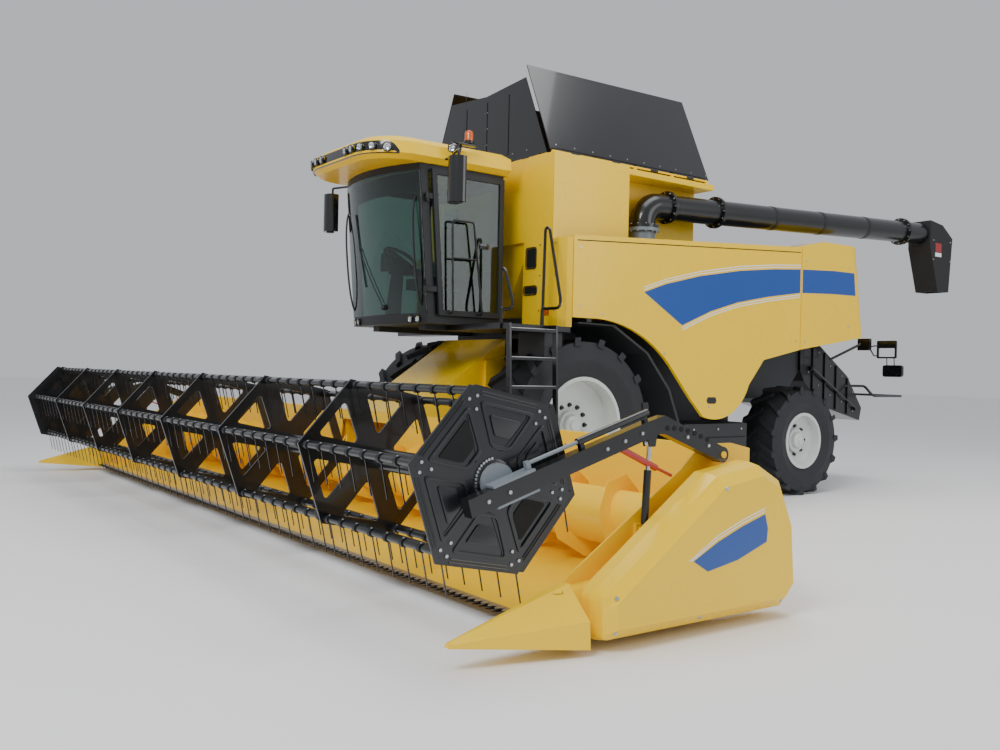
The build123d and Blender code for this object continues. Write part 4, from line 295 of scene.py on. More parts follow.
# rotationally moulded polyethylene: charcoal, matt
ARCH_MOULDING = Finish(
    "charcoal_matt_moulding", "black_moulding", "#26292C", 0.55, grain_mm=8, grain_depth_mm=0.15
)
# silver-grey wheel enamel over pressed steel
RIM_ENAMEL = Finish(
    "pale_grey_wheel_enamel", "rim_paint", "#CDD3CF", 0.38, coat=0.3, grain_mm=18, grain_depth_mm=0.06
)
# sand-cast iron under grey paint: a pebbled skin
CAST_IRON = Finish(
    "grey_painted_casting", "cast_grey", "#7B848A", 0.42, coat=0.15, drift=0.08, grain_mm=10,
    grain_depth_mm=0.35,
)
# drawn steel, brushed by use along its length
BARE_STEEL = Finish(
    "worn_bare_steel", "bare_steel", "#A9ADAF", 0.34, metallic=1.0, drift=0.12, grain_mm=9,
    grain_stretch=(0.15, 1.0, 1.0),
)
ZINC_PLATE = Finish(
    "bright_zinc_plate", "bare_steel", "#C3C7C6", 0.3, metallic=1.0, drift=0.1, drift_mm=90,
    grain_mm=6, grain_depth_mm=0.04,
)
# ground and hard-chromed rod: a near mirror
CHROME = Finish(
    "hard_chrome", "chrome_rod", "#DADDE0", 0.1, metallic=1.0, drift=0.03, grain_mm=20,
    grain_depth_mm=0.01, scuff=0.04,
)
# extruded rubber, dull and slightly bloomed
SOFT_RUBBER = Finish(
    "dull_black_rubber", "spout_rubber", "#1C1D1F", 0.62, drift=0.15, drift_mm=200, grain_mm=6
)
FRONT_RUBBER = TyreRubber(
    "front_tyre_rubber", "tyre", "#1D2024", 0.62, drift=0.14, drift_mm=180, grain_mm=14,
    grain_depth_mm=0.25, centre=tuple(JOINTS["front_wheel_left_spin"]["pos_m"]),
)
REAR_RUBBER = TyreRubber(
    "rear_tyre_rubber", "tyre", "#1D2024", 0.62, drift=0.14, drift_mm=150, grain_depth_mm=0.25,
    centre=tuple(JOINTS["rear_wheel_left_spin"]["pos_m"]), ring_mm=36,
)
SEAT_CLOTH = Weave(
    "woven_seat_cloth", "seat_fabric", "#2F3B4C", 0.85, drift=0.12, drift_mm=120, grain_mm=4
)
HEADREST_CLOTH = Weave(
    "light_headrest_cloth", "seat_fabric", "#7FA3C4", 0.85, drift=0.1, drift_mm=90, grain_mm=4
)
# toughened glass with a green body tint
TINTED_GLASS = ClearPane(
    "green_tinted_glass", "cab_glazing", "#7A9C92", 0.0, scuff=0.02, drift_mm=500
)
CLEAR_LENS = ClearPane(
    "clear_lamp_lens", "cab_glazing", "#F4F8FA", 0.02, scuff=0.02, drift_mm=60, index=1.49
)
RED_LENS = PressedLens("red_pressed_lens", "cab_glazing", "#B3120E", 0.18, coat=0.5)
AMBER_LENS = PressedLens("amber_pressed_lens", "cab_glazing", "#F0700A", 0.18, coat=0.5)
# aluminised reflector bowl
REFLECTOR = Finish("aluminised_reflector", "chrome_rod", "#E8EAEC", 0.12, metallic=1.0, drift=0.02)
# printed vinyl film: even colour, smooth, a little less glossy than the enamel
BLUE_FILM = Finish(
    "blue_vinyl_film", "yellow_paint", "#00489C", 0.3, coat=0.2, drift_mm=900, grain_mm=40, scuff=0.04
)
WHITE_FILM = Finish(
    "white_vinyl_film", "yellow_paint", "#EEF2F4", 0.3, coat=0.4, drift=0.02, drift_mm=700,
    grain_mm=40, scuff=0.04,
)
RED_ENAMEL = Finish(
    "red_strut_enamel", "black_paint", "#B01A14", 0.35, coat=0.4, drift=0.08, drift_mm=90
)
# painted shade: a dark sheet laid where gaps between panels, recesses, creases, holes and windows fall in shade
PAINTED_SHADE = Finish("painted_shade_sheet", "black_moulding", "#0B0C0D", 0.8, drift=0.2, drift_mm=50, grain_mm=5)
# fine dust-grey screen over openings
SCREEN_STEEL = Finish(
    "dark_screen_steel", "black_paint", "#22262A", 0.5, drift=0.15, drift_mm=60, grain_mm=5
)

NODE_FINISHES: dict[Finish, tuple[str, ...]] = {
    YELLOW_ENAMEL: (
        "grain_tank", "cab_roof", "body_panels", "side_panel_left", "side_panel_right", "feeder_house",
        "header_ends",
    ),
    HEADER_ENAMEL: ("header_frame", "header_auger"),
    CHARCOAL_COAT: (
        "front_axle", "rear_axle", "knuckle_left", "knuckle_right", "hull", "upper_frame", "engine",
    ),
    BLACK_ENAMEL: (
        "access_platform", "straw_chopper", "unloading_tube", "lift_barrels", "knife_guards",
        "reel_arms", "reel_lift_barrels", "reel", *[f"tine_bar_{number}" for number in range(1, 7)],
    ),
    COVER_ENAMEL: ("tank_cover_left", "tank_cover_right", "tank_flap_front", "tank_flap_rear"),
    SHIELD_SHEET: ("reel_shields",),
    BLACK_MOULDING: ("cab_frame", "cab_door", "cab_controls"),
    GLOSS_MOULDING: ("mirrors",),
    ARCH_MOULDING: ("wheel_arches", "side_boxes"),
    RIM_ENAMEL: ("front_rim_left", "front_rim_right", "rear_rim_left", "rear_rim_right"),
    CAST_IRON: ("tube_turret", "reel_carriages"),
    BARE_STEEL: ("tie_rod", "filling_auger", "knife"),
    CHROME: ("lift_rods", "reel_lift_rods"),
    SOFT_RUBBER: ("spout",),
    FRONT_RUBBER: ("front_tyre_left", "front_tyre_right"),
    REAR_RUBBER: ("rear_tyre_left", "rear_tyre_right"),
    SEAT_CLOTH: ("driver_seat",),
    TINTED_GLASS: ("cab_glass", "door_glass"),
}


# shapes


class Look(Enum):
    """The side that a piece is laid on, as the direction in which one looks at it."""

    FROM_LEFT = (-1, 0, 0)
    FROM_RIGHT = (1, 0, 0)
    FROM_FRONT = (0, 1, 0)
    FROM_REAR = (0, -1, 0)

    def spot(self, a: float, b: float, out: float) -> Vector:
        """A point outside the machine over the flat place (a, b): along and up, or across and up."""
        x, y, _ = self.value
        return at(-x * out, a, b) if x else at(a, -y * out, b)


SIDES = (("left", 1, Look.FROM_LEFT), ("right", -1, Look.FROM_RIGHT))


class Skin:
    """The outside of some nodes, found by straight looks, so that small pieces sit on what carries them."""

    def __init__(self, *nodes: str) -> None:
        """Reads the nodes' faces."""
        corners: list[Vector] = []
        faces: list[tuple[int, ...]] = []
        for name in nodes:
            mesh = frame["nodes"][name].data
            first = len(corners)
            corners.extend(vertex.co.copy() for vertex in mesh.vertices)
            faces.extend(tuple(first + i for i in face.vertices) for face in mesh.polygons)
        self.tree = BVHTree.FromPolygons(corners, faces)

    def touch(self, start: Vector, aim: Vector) -> Place | None:
        """The first place met from a start along an aim, with the surface's outward direction there."""
        spot, normal, _, _ = self.tree.ray_cast(start, aim.normalized())
        if spot is None:
            return None
        return spot, -normal if normal.dot(aim) > 0 else normal

    def under(self, look: Look, a: float, b: float, out: float = 9.0) -> Place | None:
        """The place on the skin that a look at (a, b) meets."""
        return self.touch(look.spot(a, b, out), Vector(look.value))

    def places(self, look: Look, flats: Iterable[Flat]) -> list[Place]:
        """The places on the skin that looks at flat places meet."""
        met = (self.under(look, a, b) for a, b in flats)
        return [found for found in met if found is not None]

    def ahead(self, spots: Iterable[Point]) -> list[Vector]:
        """Points in front of the skin, each from its place across, its height and its distance."""
        met = ((self.under(Look.FROM_FRONT, x, z, 3.0), out) for x, z, out in spots)
        return [found[0] - BACKWARDS * out for found, out in met if found is not None]


def placed(mesh: bpy.types.Mesh, name: str, finish: Finish, body: str) -> bpy.types.Object:
    """Links a mesh as a piece, gives it its finish and lets it ride on a body."""
    mesh.materials.clear()
    mesh.materials.append(finish.material())
    mesh.polygons.foreach_set("material_index", [0] * len(mesh.polygons))
    mesh.shade_smooth()
    mesh.set_sharp_from_angle(angle=SMOOTH_ANGLE)
    made = bpy.data.objects.new(name, mesh)
    bpy.context.scene.collection.objects.link(made)
    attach(made, body)
    LOG.info("%s on %s", name, body)
    return made


def finished(
    shape: Shape, name: str, finish: Finish, body: str = "machine", bevel: float = 0.0
) -> bpy.types.Object:
    """Turns a shape into a piece with its finish that rides on a body.

    Args:
        shape: The shape, which is used up.
        name: The piece's name.
        finish: Its finish.
        body: The body that it rides on.
        bevel: Width of the rounding of sharp edges.

    Returns:
        The piece.
    """
    bmesh.ops.remove_doubles(shape, verts=shape.verts, dist=WELD)
    bmesh.ops.recalc_face_normals(shape, faces=shape.faces)
    if bevel > 0:
        sharp = [
            edge for edge in shape.edges
            if len(edge.link_faces) == 2 and edge.calc_face_angle(0.0) > SMOOTH_ANGLE
        ]
        bmesh.ops.bevel(
            shape, geom=sharp, offset=bevel, segments=2, profile=0.6, affect="EDGES", clamp_overlap=True
        )
    mesh = bpy.data.meshes.new(name)
    shape.to_mesh(mesh)
    shape.free()
    return placed(mesh, name, finish, body)


@contextmanager
def piece(name: str, finish: Finish, body: str = "machine", bevel: float = 0.0) -> Iterator[Shape]:
    """Opens an empty shape, which becomes a piece once it is filled. Its arguments are those of finished."""
    shape = bmesh.new()
    yield shape
    finished(shape, name, finish, body, bevel)


def rect(a: float, b: float, far_a: float, far_b: float) -> list[Flat]:
    """The four corners between two opposite ones."""
    return [(a, b), (far_a, b), (far_a, far_b), (a, far_b)]


def strip(line: Sequence[Flat], low: float, high: float) -> list[Flat]:
    """The outline between a line raised by one height and the same line raised by another."""
    return [(a, b + low) for a, b in line] + [(a, b + high) for a, b in reversed(line)]


def rounded(corners: Sequence[Flat], radius: float, steps: int = 4) -> list[Flat]:
    """An outline with its corners rounded off.

    Args:
        corners: The outline's corners in order.
        radius: Distance from each corner at which its rounding starts.
        steps: Number of steps in each rounding.

    Returns:
        The points of the rounded outline.
    """
    points: list[Flat] = []
    for i, corner in enumerate(corners):
        middle = Vector(corner)
        start = middle + (Vector(corners[i - 1]) - middle).normalized() * radius
        end = middle + (Vector(corners[(i + 1) % len(corners)]) - middle).normalized() * radius
        for step in range(steps + 1):
            share = step / steps
            spot = start * (1 - share) ** 2 + middle * 2 * share * (1 - share) + end * share**2
            points.append((spot.x, spot.y))
    return points


def pulled(shape: Shape, outline: Sequence[Vector], run: Vector) -> None:
    """Adds a flat outline pulled along a run."""
    low = [shape.verts.new(point) for point in outline]
    high = [shape.verts.new(point + run) for point in outline]
    shape.faces.new(low)
    shape.faces.new(high[::-1])
    for i, corner in enumerate(low):
        other = (i + 1) % len(low)
        shape.faces.new((corner, high[i], high[other], low[other]))


def ringed_off(shape: Shape, outer: Sequence[Vector], inner: Sequence[Vector], run: Vector) -> None:
    """Adds a flat ring between two outlines of as many points, pulled along a run."""
    loops = [
        [shape.verts.new(point + shift) for point in ring]
        for ring in (outer, inner)
        for shift in (Vector(), run)
    ]
    outer_low, outer_high, inner_low, inner_high = loops
    count = len(outer)
    for i in range(count):
        j = (i + 1) % count
        shape.faces.new((outer_low[i], outer_low[j], outer_high[j], outer_high[i]))
        shape.faces.new((inner_low[i], inner_high[i], inner_high[j], inner_low[j]))
        shape.faces.new((outer_high[i], outer_high[j], inner_high[j], inner_high[i]))
        shape.faces.new((outer_low[j], outer_low[i], inner_low[i], inner_low[j]))


def boxed(shape: Shape, low: Vector, high: Vector) -> None:
    """Adds a block between two corners."""
    base = [Vector((x, y, low.z)) for x, y in rect(low.x, low.y, high.x, high.y)]
    pulled(shape, base, UP * (high.z - low.z))


def facing(aim: Vector) -> Matrix:
    """The turn that brings the upright onto an aim."""
    return aim.normalized().to_track_quat("Z", "Y").to_matrix()


def spoke(radius: float, angle: float, along: float = 0.0) -> Vector:
    """A point at a radius and an angle round the upright."""
    return Vector((radius * cos(angle), radius * sin(angle), along))


def turned(
    shape: Shape, profile: Sequence[Flat], foot: Vector, aim: Vector = UP, steps: int = 24
) -> None:
    """Adds a shape turned round an axis.

    Args:
        shape: The shape that it is added to.
        profile: Radius and distance along the axis, from the foot's middle to the tip's.
        foot: Where the axis starts.
        aim: Direction of the axis.
        steps: Number of steps round it.
    """
    turn = facing(aim)
    rings = [
        [
            shape.verts.new(foot + turn @ spoke(radius, 2 * pi * i / steps, along))
            for i in range(steps if radius else 1)
        ]
        for radius, along in profile
    ]
    for lower, upper in zip(rings, rings[1:]):
        for i in range(steps):
            j = (i + 1) % steps
            corners = [
                lower[i % len(lower)], lower[j % len(lower)], upper[j % len(upper)], upper[i % len(upper)],
            ]
            kept = list(dict.fromkeys(corners))
            if len(kept) > 2:
                shape.faces.new(kept)


def piped(
    shape: Shape, points: Sequence[Vector], radius: float, sides: int = 10, smooth: bool = False
) -> None:
    """Adds a round pipe or rod that follows points.

    Args:
        shape: The shape that it is added to.
        points: The points of its middle line.
        radius: Its radius.
        sides: Number of sides.
        smooth: True for a bent pipe, False for straight runs.
    """
    line = bpy.data.curves.new("run", "CURVE")
    line.dimensions = "3D"
    line.bevel_depth = radius
    line.bevel_resolution = max(0, sides // 4 - 1)
    line.use_fill_caps = True
    line.resolution_u = 8
    run = line.splines.new("NURBS" if smooth else "POLY")
    run.points.add(len(points) - 1)
    for spot, point in zip(run.points, points):
        spot.co = (*point, 1.0)
    if smooth:
        run.order_u = 3
        run.use_endpoint_u = True
    holder = bpy.data.objects.new("run", line)
    mesh = bpy.data.meshes.new_from_object(holder)
    shape.from_mesh(mesh)
    bpy.data.objects.remove(holder)
    bpy.data.curves.remove(line)
    bpy.data.meshes.remove(mesh)


def cut_up(sheet: Shape, outline: Sequence[Flat], step: float) -> None:
    """Cuts a flat sheet into facets of a width, along and across."""
    for axis, way in enumerate((Vector((1, 0, 0)), Vector((0, 1, 0)))):
        span = [corner[axis] for corner in outline]
        cut = min(span) + step
        while cut < max(span):
            parts = sheet.verts[:] + sheet.edges[:] + sheet.faces[:]
            bmesh.ops.bisect_plane(sheet, geom=parts, plane_co=way * cut, plane_no=way)
            cut += step


def laid(
    shape: Shape,
    skin: Skin,
    look: Look,
    outline: Sequence[Flat],
    lift: float,
    thick: float,
    step: float = 0.08,
) -> None:
    """Adds a sheet that follows a skin.

    Args:
        shape: The shape that it is added to.
        skin: What it is laid on.
        look: The side from which its outline is seen.
        outline: The outline's corners, along or across and up.
        lift: Distance of its underside from the skin.
        thick: Its thickness.
        step: Width of its facets.
    """
    aim = Vector(look.value)
    sheet = bmesh.new()
    sheet.faces.new([sheet.verts.new((a, b, 0.0)) for a, b in outline])
    cut_up(sheet, outline, step)
    sheet.verts.index_update()
    low: dict[int, bmesh.types.BMVert] = {}
    high: dict[int, bmesh.types.BMVert] = {}
    for vert in sheet.verts:
        met = skin.under(look, vert.co.x, vert.co.y)
        if met is not None:
            low[vert.index] = shape.verts.new(met[0] - aim * lift)
            high[vert.index] = shape.verts.new(met[0] - aim * (lift + thick))
    for face in sheet.faces:
        ring = [vert.index for vert in face.verts]
        if all(i in low for i in ring):
            shape.faces.new([high[i] for i in ring])
            shape.faces.new([low[i] for i in reversed(ring)])
    for edge in sheet.edges:
        i, j = (vert.index for vert in edge.verts)
        if len(edge.link_faces) == 1 and i in low and j in low:
            shape.faces.new((low[i], low[j], high[j], high[i]))
    sheet.free()


def band(
    name: str,
    skin: Skin,
    look: Look,
    outline: Sequence[Flat],
    finish: Finish,
    body: str = "machine",
    lift: float = 0.0004,
    thick: float = 0.0012,
    step: float = 0.08,
) -> None:
    """A thin piece laid on a skin: film, seam, plate or frame. The other arguments are those of laid."""
    with piece(name, finish, body) as shape:
        laid(shape, skin, look, outline, lift, thick, step)


# repeated pieces


class Fastener(Enum):
    """The repeated piece that a field is made of, with its number of sides."""

    HEX = 6
    ROUND = 16


def scatter_tree(kind: Fastener, finish: Finish) -> Tree:
    """A node tree that sets one fastener on every point of a mesh, turned to the point's own aim."""
    name = f"fasteners_{kind.name.lower()}_{finish.name}"
    made = bpy.data.node_groups.get(name)
    if made is not None:
        return made
    tree = bpy.data.node_groups.new(name, "GeometryNodeTree")
    tree.interface.new_socket("Points", in_out="INPUT", socket_type="NodeSocketGeometry")
    for label in ("Radius", "Height", "Taper"):
        tree.interface.new_socket(label, in_out="INPUT", socket_type="NodeSocketFloat")
    tree.interface.new_socket("Fasteners", in_out="OUTPUT", socket_type="NodeSocketGeometry")
    points, radius, height, taper = add_node(tree, "NodeGroupInput").outputs[:4]
    narrow = add_node(tree, "ShaderNodeMath", {0: radius, 1: taper}, operation="MULTIPLY")
    cone = {"Vertices": kind.value, "Radius Top": narrow.outputs[0], "Radius Bottom": radius, "Depth": height}
    head = add_node(tree, "GeometryNodeMeshCone", cone)
    aim = add_node(tree, "GeometryNodeInputNamedAttribute", {"Name": "aim"}, data_type="FLOAT_VECTOR")
    turn = add_node(tree, "FunctionNodeAlignRotationToVector", {"Vector": aim.outputs[0]}, axis="Z")
    spread = {"Points": points, "Instance": head.outputs["Mesh"], "Rotation": turn.outputs[0]}
    heads = add_node(tree, "GeometryNodeInstanceOnPoints", spread)
    real = add_node(tree, "GeometryNodeRealizeInstances", {"Geometry": heads.outputs[0]})
    paint = {"Geometry": real.outputs[0], "Material": finish.material()}
    add_node(tree, "NodeGroupOutput", {0: add_node(tree, "GeometryNodeSetMaterial", paint).outputs[0]})
    return tree


def fasteners(
    name: str,
    spots: Sequence[Place],
    radius: float,
    height: float,
    finish: Finish,
    body: str = "machine",
    kind: Fastener = Fastener.HEX,
    taper: float = 0.88,
) -> None:
    """Bolts, nuts, rivets or clips at places with their outward directions, all as one plain piece.

    Args:
        name: The piece's name.
        spots: Places and outward directions.
        radius: Radius of one fastener.
        height: Its height over the surface.
        finish: Its finish.
        body: The body that they ride on.
        kind: Six-sided or round.
        taper: Radius of the top as a share of the foot's.
    """
    sunk = 0.0005
    base = bpy.data.meshes.new(name)
    base.from_pydata([spot - aim.normalized() * sunk for spot, aim in spots], [], [])
    base.attributes.new("aim", "FLOAT_VECTOR", "POINT").data.foreach_set(
        "vector", [value for _, aim in spots for value in aim.normalized()]
    )
    holder = bpy.data.objects.new(name + "_base", base)
    bpy.context.scene.collection.objects.link(holder)
    growth = holder.modifiers.new("growth", "NODES")
    growth.node_group = scatter_tree(kind, finish)
    sizes = {"Radius": radius, "Height": height, "Taper": taper}
    for item in growth.node_group.interface.items_tree:
        if item.name in sizes:
            growth[item.identifier] = sizes[item.name]
    holder.update_tag()
    seen = holder.evaluated_get(bpy.context.evaluated_depsgraph_get())
    mesh = bpy.data.meshes.new_from_object(seen)
    holder.modifiers.clear()
    bpy.data.objects.remove(holder)
    placed(mesh, name, finish, body)


def screws(
    name: str,
    spots: Sequence[Place],
    radius: float,
    height: float,
    body: str = "machine",
    kind: Fastener = Fastener.ROUND,
) -> None:
    """Zinc-plated fasteners; the arguments are those of fasteners."""
    fasteners(name, spots, radius, height, ZINC_PLATE, body, kind)


def ringed(middle: Vector, aim: Vector, radius: float, count: int) -> list[Place]:
    """Places on a ring round an axis, all facing along it."""
    turn = facing(aim)
    return [(middle + turn @ spoke(radius, 2 * pi * i / count), aim.normalized()) for i in range(count)]


# the machine's sub-assemblies


class Paintwork:
    """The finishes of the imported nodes."""

    def build(self) -> None:
        """Gives every node its finish."""
        for finish, names in NODE_FINISHES.items():
            for name in names:
                node = frame["nodes"][name]
                node.data.materials.clear()
                node.data.materials.append(finish.material())
                LOG.info("%s in %s", name, finish.name)


@dataclass
class Lamp:
    """A round work lamp: housing, reflector bowl and lens."""

    radius: float
    depth: float

    def build(self, name: str, foot: Vector, aim: Vector) -> None:
        """Builds the lamp on its foot, facing along its aim; profiles are in radii and depths."""
        for part, finish, profile in (
            ("housing", GLOSS_MOULDING, (
                (1, -0.6), (1.06, 0), (1.06, 1), (0.95, 1.3), (0.86, 1.3), (0.84, 0.9), (0.5, 0.3), (0, 0.2),
            )),
            ("reflector", REFLECTOR, (
                (0, 0.25), (0.4, 0.4), (0.8, 0.95), (0.83, 0.92), (0.45, 0.32), (0, 0.2),
            )),
            ("lens", CLEAR_LENS, ((0, 0.98), (0.82, 0.98), (0.85, 1.1), (0.6, 1.3), (0, 1.42))),
        ):
            with piece(f"{name}_{part}", finish) as shape:
                turned(shape, [(self.radius * r, self.depth * d) for r, d in profile], foot, aim)


@dataclass
class Brow:
    """The black lamp strip round the front of the cab's roof, and the lamps in it."""

    corner_x: float = 0.43
    corner_back: float = -1.84
    corner_radius: float = 0.52
    waist_z: float = 3.885
    low: float = 3.872
    high: float = 4.008
    lift: float = 0.007
    end_turn: float = 66.0

    def round_corner(self, side: int, turn: float, reach: float, z: float, across: float = 0.0) -> Vector:
        """A point at a reach from the middle of the roof's corner."""
        angle = radians(turn)
        x = self.corner_x + across + reach * sin(angle)
        return at(side * x, self.corner_back - reach * cos(angle), z)

    def edge(self, turn: float, side: int, z: float, lift: float) -> Vector:
        """A point on the roof's outline at a turn round its corner, lifted outwards."""
        over = z - self.waist_z
        inset = -0.07 * over / 0.055 if over < 0 else 0.015 * over / 0.13
        return self.round_corner(side, turn, self.corner_radius - inset + lift, z)

    def path(self) -> list[tuple[float, int]]:
        """Turns and sides from the right end of the strip to its left end."""
        turns = [self.end_turn * i / 12 for i in range(13)]
        return [(turn, -1) for turn in reversed(turns)] + [(turn, 1) for turn in turns]

    def row(self, shape: Shape, turn: float, side: int) -> list[bmesh.types.BMVert]:
        """One upright section of the strip, lower towards its slanted ends."""
        slant = max(0.0, (turn - self.end_turn + 14) / 14)
        share = (self.high - 0.1 * slant * slant - self.low) / (self.high - self.low)
        lip = 0.004
        made = []
        for z, lift in (
            (self.low, -0.002),
            (self.low + lip, self.lift),
            ((self.low + self.high) / 2, self.lift),
            (self.high - lip, self.lift),
            (self.high, -0.002),
        ):
            made.append(shape.verts.new(self.edge(turn, side, self.low + (z - self.low) * share, lift)))
        return made

    def build(self) -> None:
        """Builds the strip with its slanted ends and its raised lip."""
        with piece("roof_lamp_strip", GLOSS_MOULDING) as shape:
            rows = [self.row(shape, turn, side) for turn, side in self.path()]
            for left, right in zip(rows, rows[1:]):
                for i in range(len(left)):
                    j = (i + 1) % len(left)
                    shape.faces.new((left[i], right[i], right[j], left[j]))
            shape.faces.new(rows[0])
            shape.faces.new(rows[-1][::-1])
        for word, side, _ in SIDES:
            for number, (across, turn) in enumerate(((-0.14, 0), (0, 0), (0, 17), (0, 34)), 1):
                foot = self.round_corner(side, turn, 0.53, 3.95, across)
                aim = Vector((side * sin(radians(turn)), -cos(radians(turn)), -0.08))
                Lamp(0.044, 0.014).build(f"roof_lamp_{word}_{number}", foot, aim)
            turn = 52
            aim = Vector((side * sin(radians(turn)), -cos(radians(turn)), -0.15))
            foot = self.round_corner(side, turn, 0.525, 3.935)
            Lamp(0.05, 0.03).build(f"roof_corner_lamp_{word}", foot, aim)


class RoofGear:
    """Side lamps, beacons and the aerial on the roof."""

    beacon_radius = 0.055

    def build(self) -> None:
        """Builds the gear on both sides of the roof."""
        r = self.beacon_radius
        for word, side, _ in SIDES:
            x = side * 1.03
            with piece(f"roof_bracket_{word}", BLACK_ENAMEL, bevel=0.004) as bracket:
                arm = [at(side * 0.93, -1.36, 3.9), at(side * 1.0, -1.36, 3.93), at(x, -1.36, 4.06)]
                piped(bracket, arm, 0.016, smooth=True)
                boxed(bracket, at(x - 0.035, -1.47, 4.05), at(x + 0.035, -1.17, 4.075))
            aim = Vector((side * 0.35, -1, -0.1))
            Lamp(0.052, 0.05).build(f"roof_side_lamp_{word}", at(x, -1.44, 4.0), aim)
            foot = at(x, -1.26, 4.074)
            with piece(f"beacon_base_{word}", GLOSS_MOULDING) as base:
                turned(base, [(0, 0), (r * 1.05, 0), (r * 1.05, 0.028), (r * 0.9, 0.034), (0, 0.034)], foot)
            with piece(f"beacon_dome_{word}", AMBER_LENS) as dome:
                turned(dome, [(0, 0.032), (r * 0.86, 0.032), (r * 0.86, 0.11), (r * 0.7, 0.135),
                              (r * 0.3, 0.147), (0, 0.149)], foot)
        with piece("roof_aerial", BLACK_MOULDING) as aerial:
            turned(aerial, [(0, 0), (0.03, 0), (0.026, 0.02), (0.008, 0.05), (0.0035, 0.12), (0.002, 0.72),
                            (0, 0.722)], at(0.6, -1.07, 4.07), Vector((0, 0.08, 1)), 10)


class CabTrim:
    """Mirror glass, sill lamps, wiper, rails, handle, headrest and sunshade."""

    def build(self) -> None:
        """Builds the trim of the cab."""
        self.mirrors()
        self.sill()
        self.windscreen()
        self.door()
        self.inside()

    def mirrors(self) -> None:
        """Mirror glass on the flat backs of the mirror heads, and a cap at each end of them."""
        for word, side, _ in SIDES:
            x = side * 1.45
            with piece(f"mirror_glass_{word}", CHROME, bevel=0.001) as pane:
                outline = [at(x + dx, -1.63, z) for dx, z in rect(-0.08, 3.36, 0.08, 3.77)]
                pulled(pane, outline, BACKWARDS * 0.004)
            with piece(f"mirror_caps_{word}", BLACK_MOULDING) as caps:
                for z, up in ((3.801, UP), (3.33, -UP)):
                    turned(caps, [(0, 0), (0.05, 0), (0.045, 0.012), (0, 0.016)], at(x, -1.69, z), up)

    def sill(self) -> None:
        """The pairs of lamps in the sill under the windscreen."""
        skin = Skin("cab_frame")
        for word, side, _ in SIDES:
            feet = skin.ahead([(side * x, 2.16, 0.0) for x in (0.72, 0.6)])
            for number, foot in enumerate(feet, 1):
                Lamp(0.04, 0.02).build(f"sill_lamp_{word}_{number}", foot, Vector((side * 0.1, -1, -0.2)))

    def windscreen(self) -> None:
        """The wiper and the two upright grab rails in front of the corners."""
        glass = Skin("cab_glass")
        with piece("wiper", BLACK_MOULDING) as wiper:
            arm = glass.ahead([(0.1, 2.3, 0.022), (-0.12, 2.62, 0.022), (-0.36, 3.0, 0.022)])
            piped(wiper, arm, 0.007)
            piped(wiper, glass.ahead([(-0.3, 2.55, 0.008), (-0.36, 3.0, 0.008), (-0.39, 3.4, 0.008)]), 0.008)
            turned(wiper, [(0, 0), (0.03, 0), (0.03, 0.03), (0.015, 0.045), (0, 0.045)],
                   arm[0] + BACKWARDS * 0.024, -BACKWARDS)
        corner = Skin("cab_frame", "cab_glass")
        for word, side, _ in SIDES:
            x = side * 0.78
            with piece(f"windscreen_rail_{word}", BLACK_ENAMEL) as rail:
                line = corner.ahead([(x, 2.3, 0.0), (x, 2.42, 0.06), (x, 3.35, 0.06), (x, 3.47, 0.0)])
                piped(rail, line, 0.011, smooth=True)

    def door(self) -> None:
        """The door's handle."""
        met = Skin("cab_door", "door_glass").under(Look.FROM_LEFT, -0.93, 3.0, 2.0)
        if met is None:
            return
        foot = met[0]
        with piece("door_handle", GLOSS_MOULDING, "cab_door", 0.003) as handle:
            boxed(handle, foot + Vector((-0.002, -0.06, -0.03)), foot + Vector((0.012, 0.06, 0.03)))
            grip = ((0.01, -0.05, 0), (0.035, -0.04, 0), (0.035, 0.05, 0))
            piped(handle, [foot + Vector(shift) for shift in grip], 0.009, 8, True)

    def inside(self) -> None:
        """The headrest's cover and the sunshade behind the windscreen."""
        _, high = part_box("driver_seat")
        cushion = bmesh.new()
        low_corner = Vector((-0.13, high.y - 0.13, high.z - 0.2))
        boxed(cushion, low_corner, Vector((0.13, high.y - 0.045, high.z + 0.01)))
        bmesh.ops.subdivide_edges(cushion, edges=cushion.edges[:], cuts=3, use_grid_fill=True)
        middle = sum((v.co for v in cushion.verts), Vector()) / len(cushion.verts)
        for vert in cushion.verts:
            away = vert.co - middle
            vert.co = middle + away * (1.0 - 0.25 * (away.length / 0.2) ** 2)
        finished(cushion, "headrest_cover", HEADREST_CLOTH)
        curve = [(x, -1.68 - 0.14 * (1 - (x / 0.78) ** 2)) for x in (-0.7, -0.35, 0.0, 0.35, 0.7)]
        with piece("sunshade", BLACK_MOULDING) as sheet:
            pulled(sheet, [at(x, back, 3.55) for x, back in strip(curve, 0.0, 0.005)], UP * 0.22)


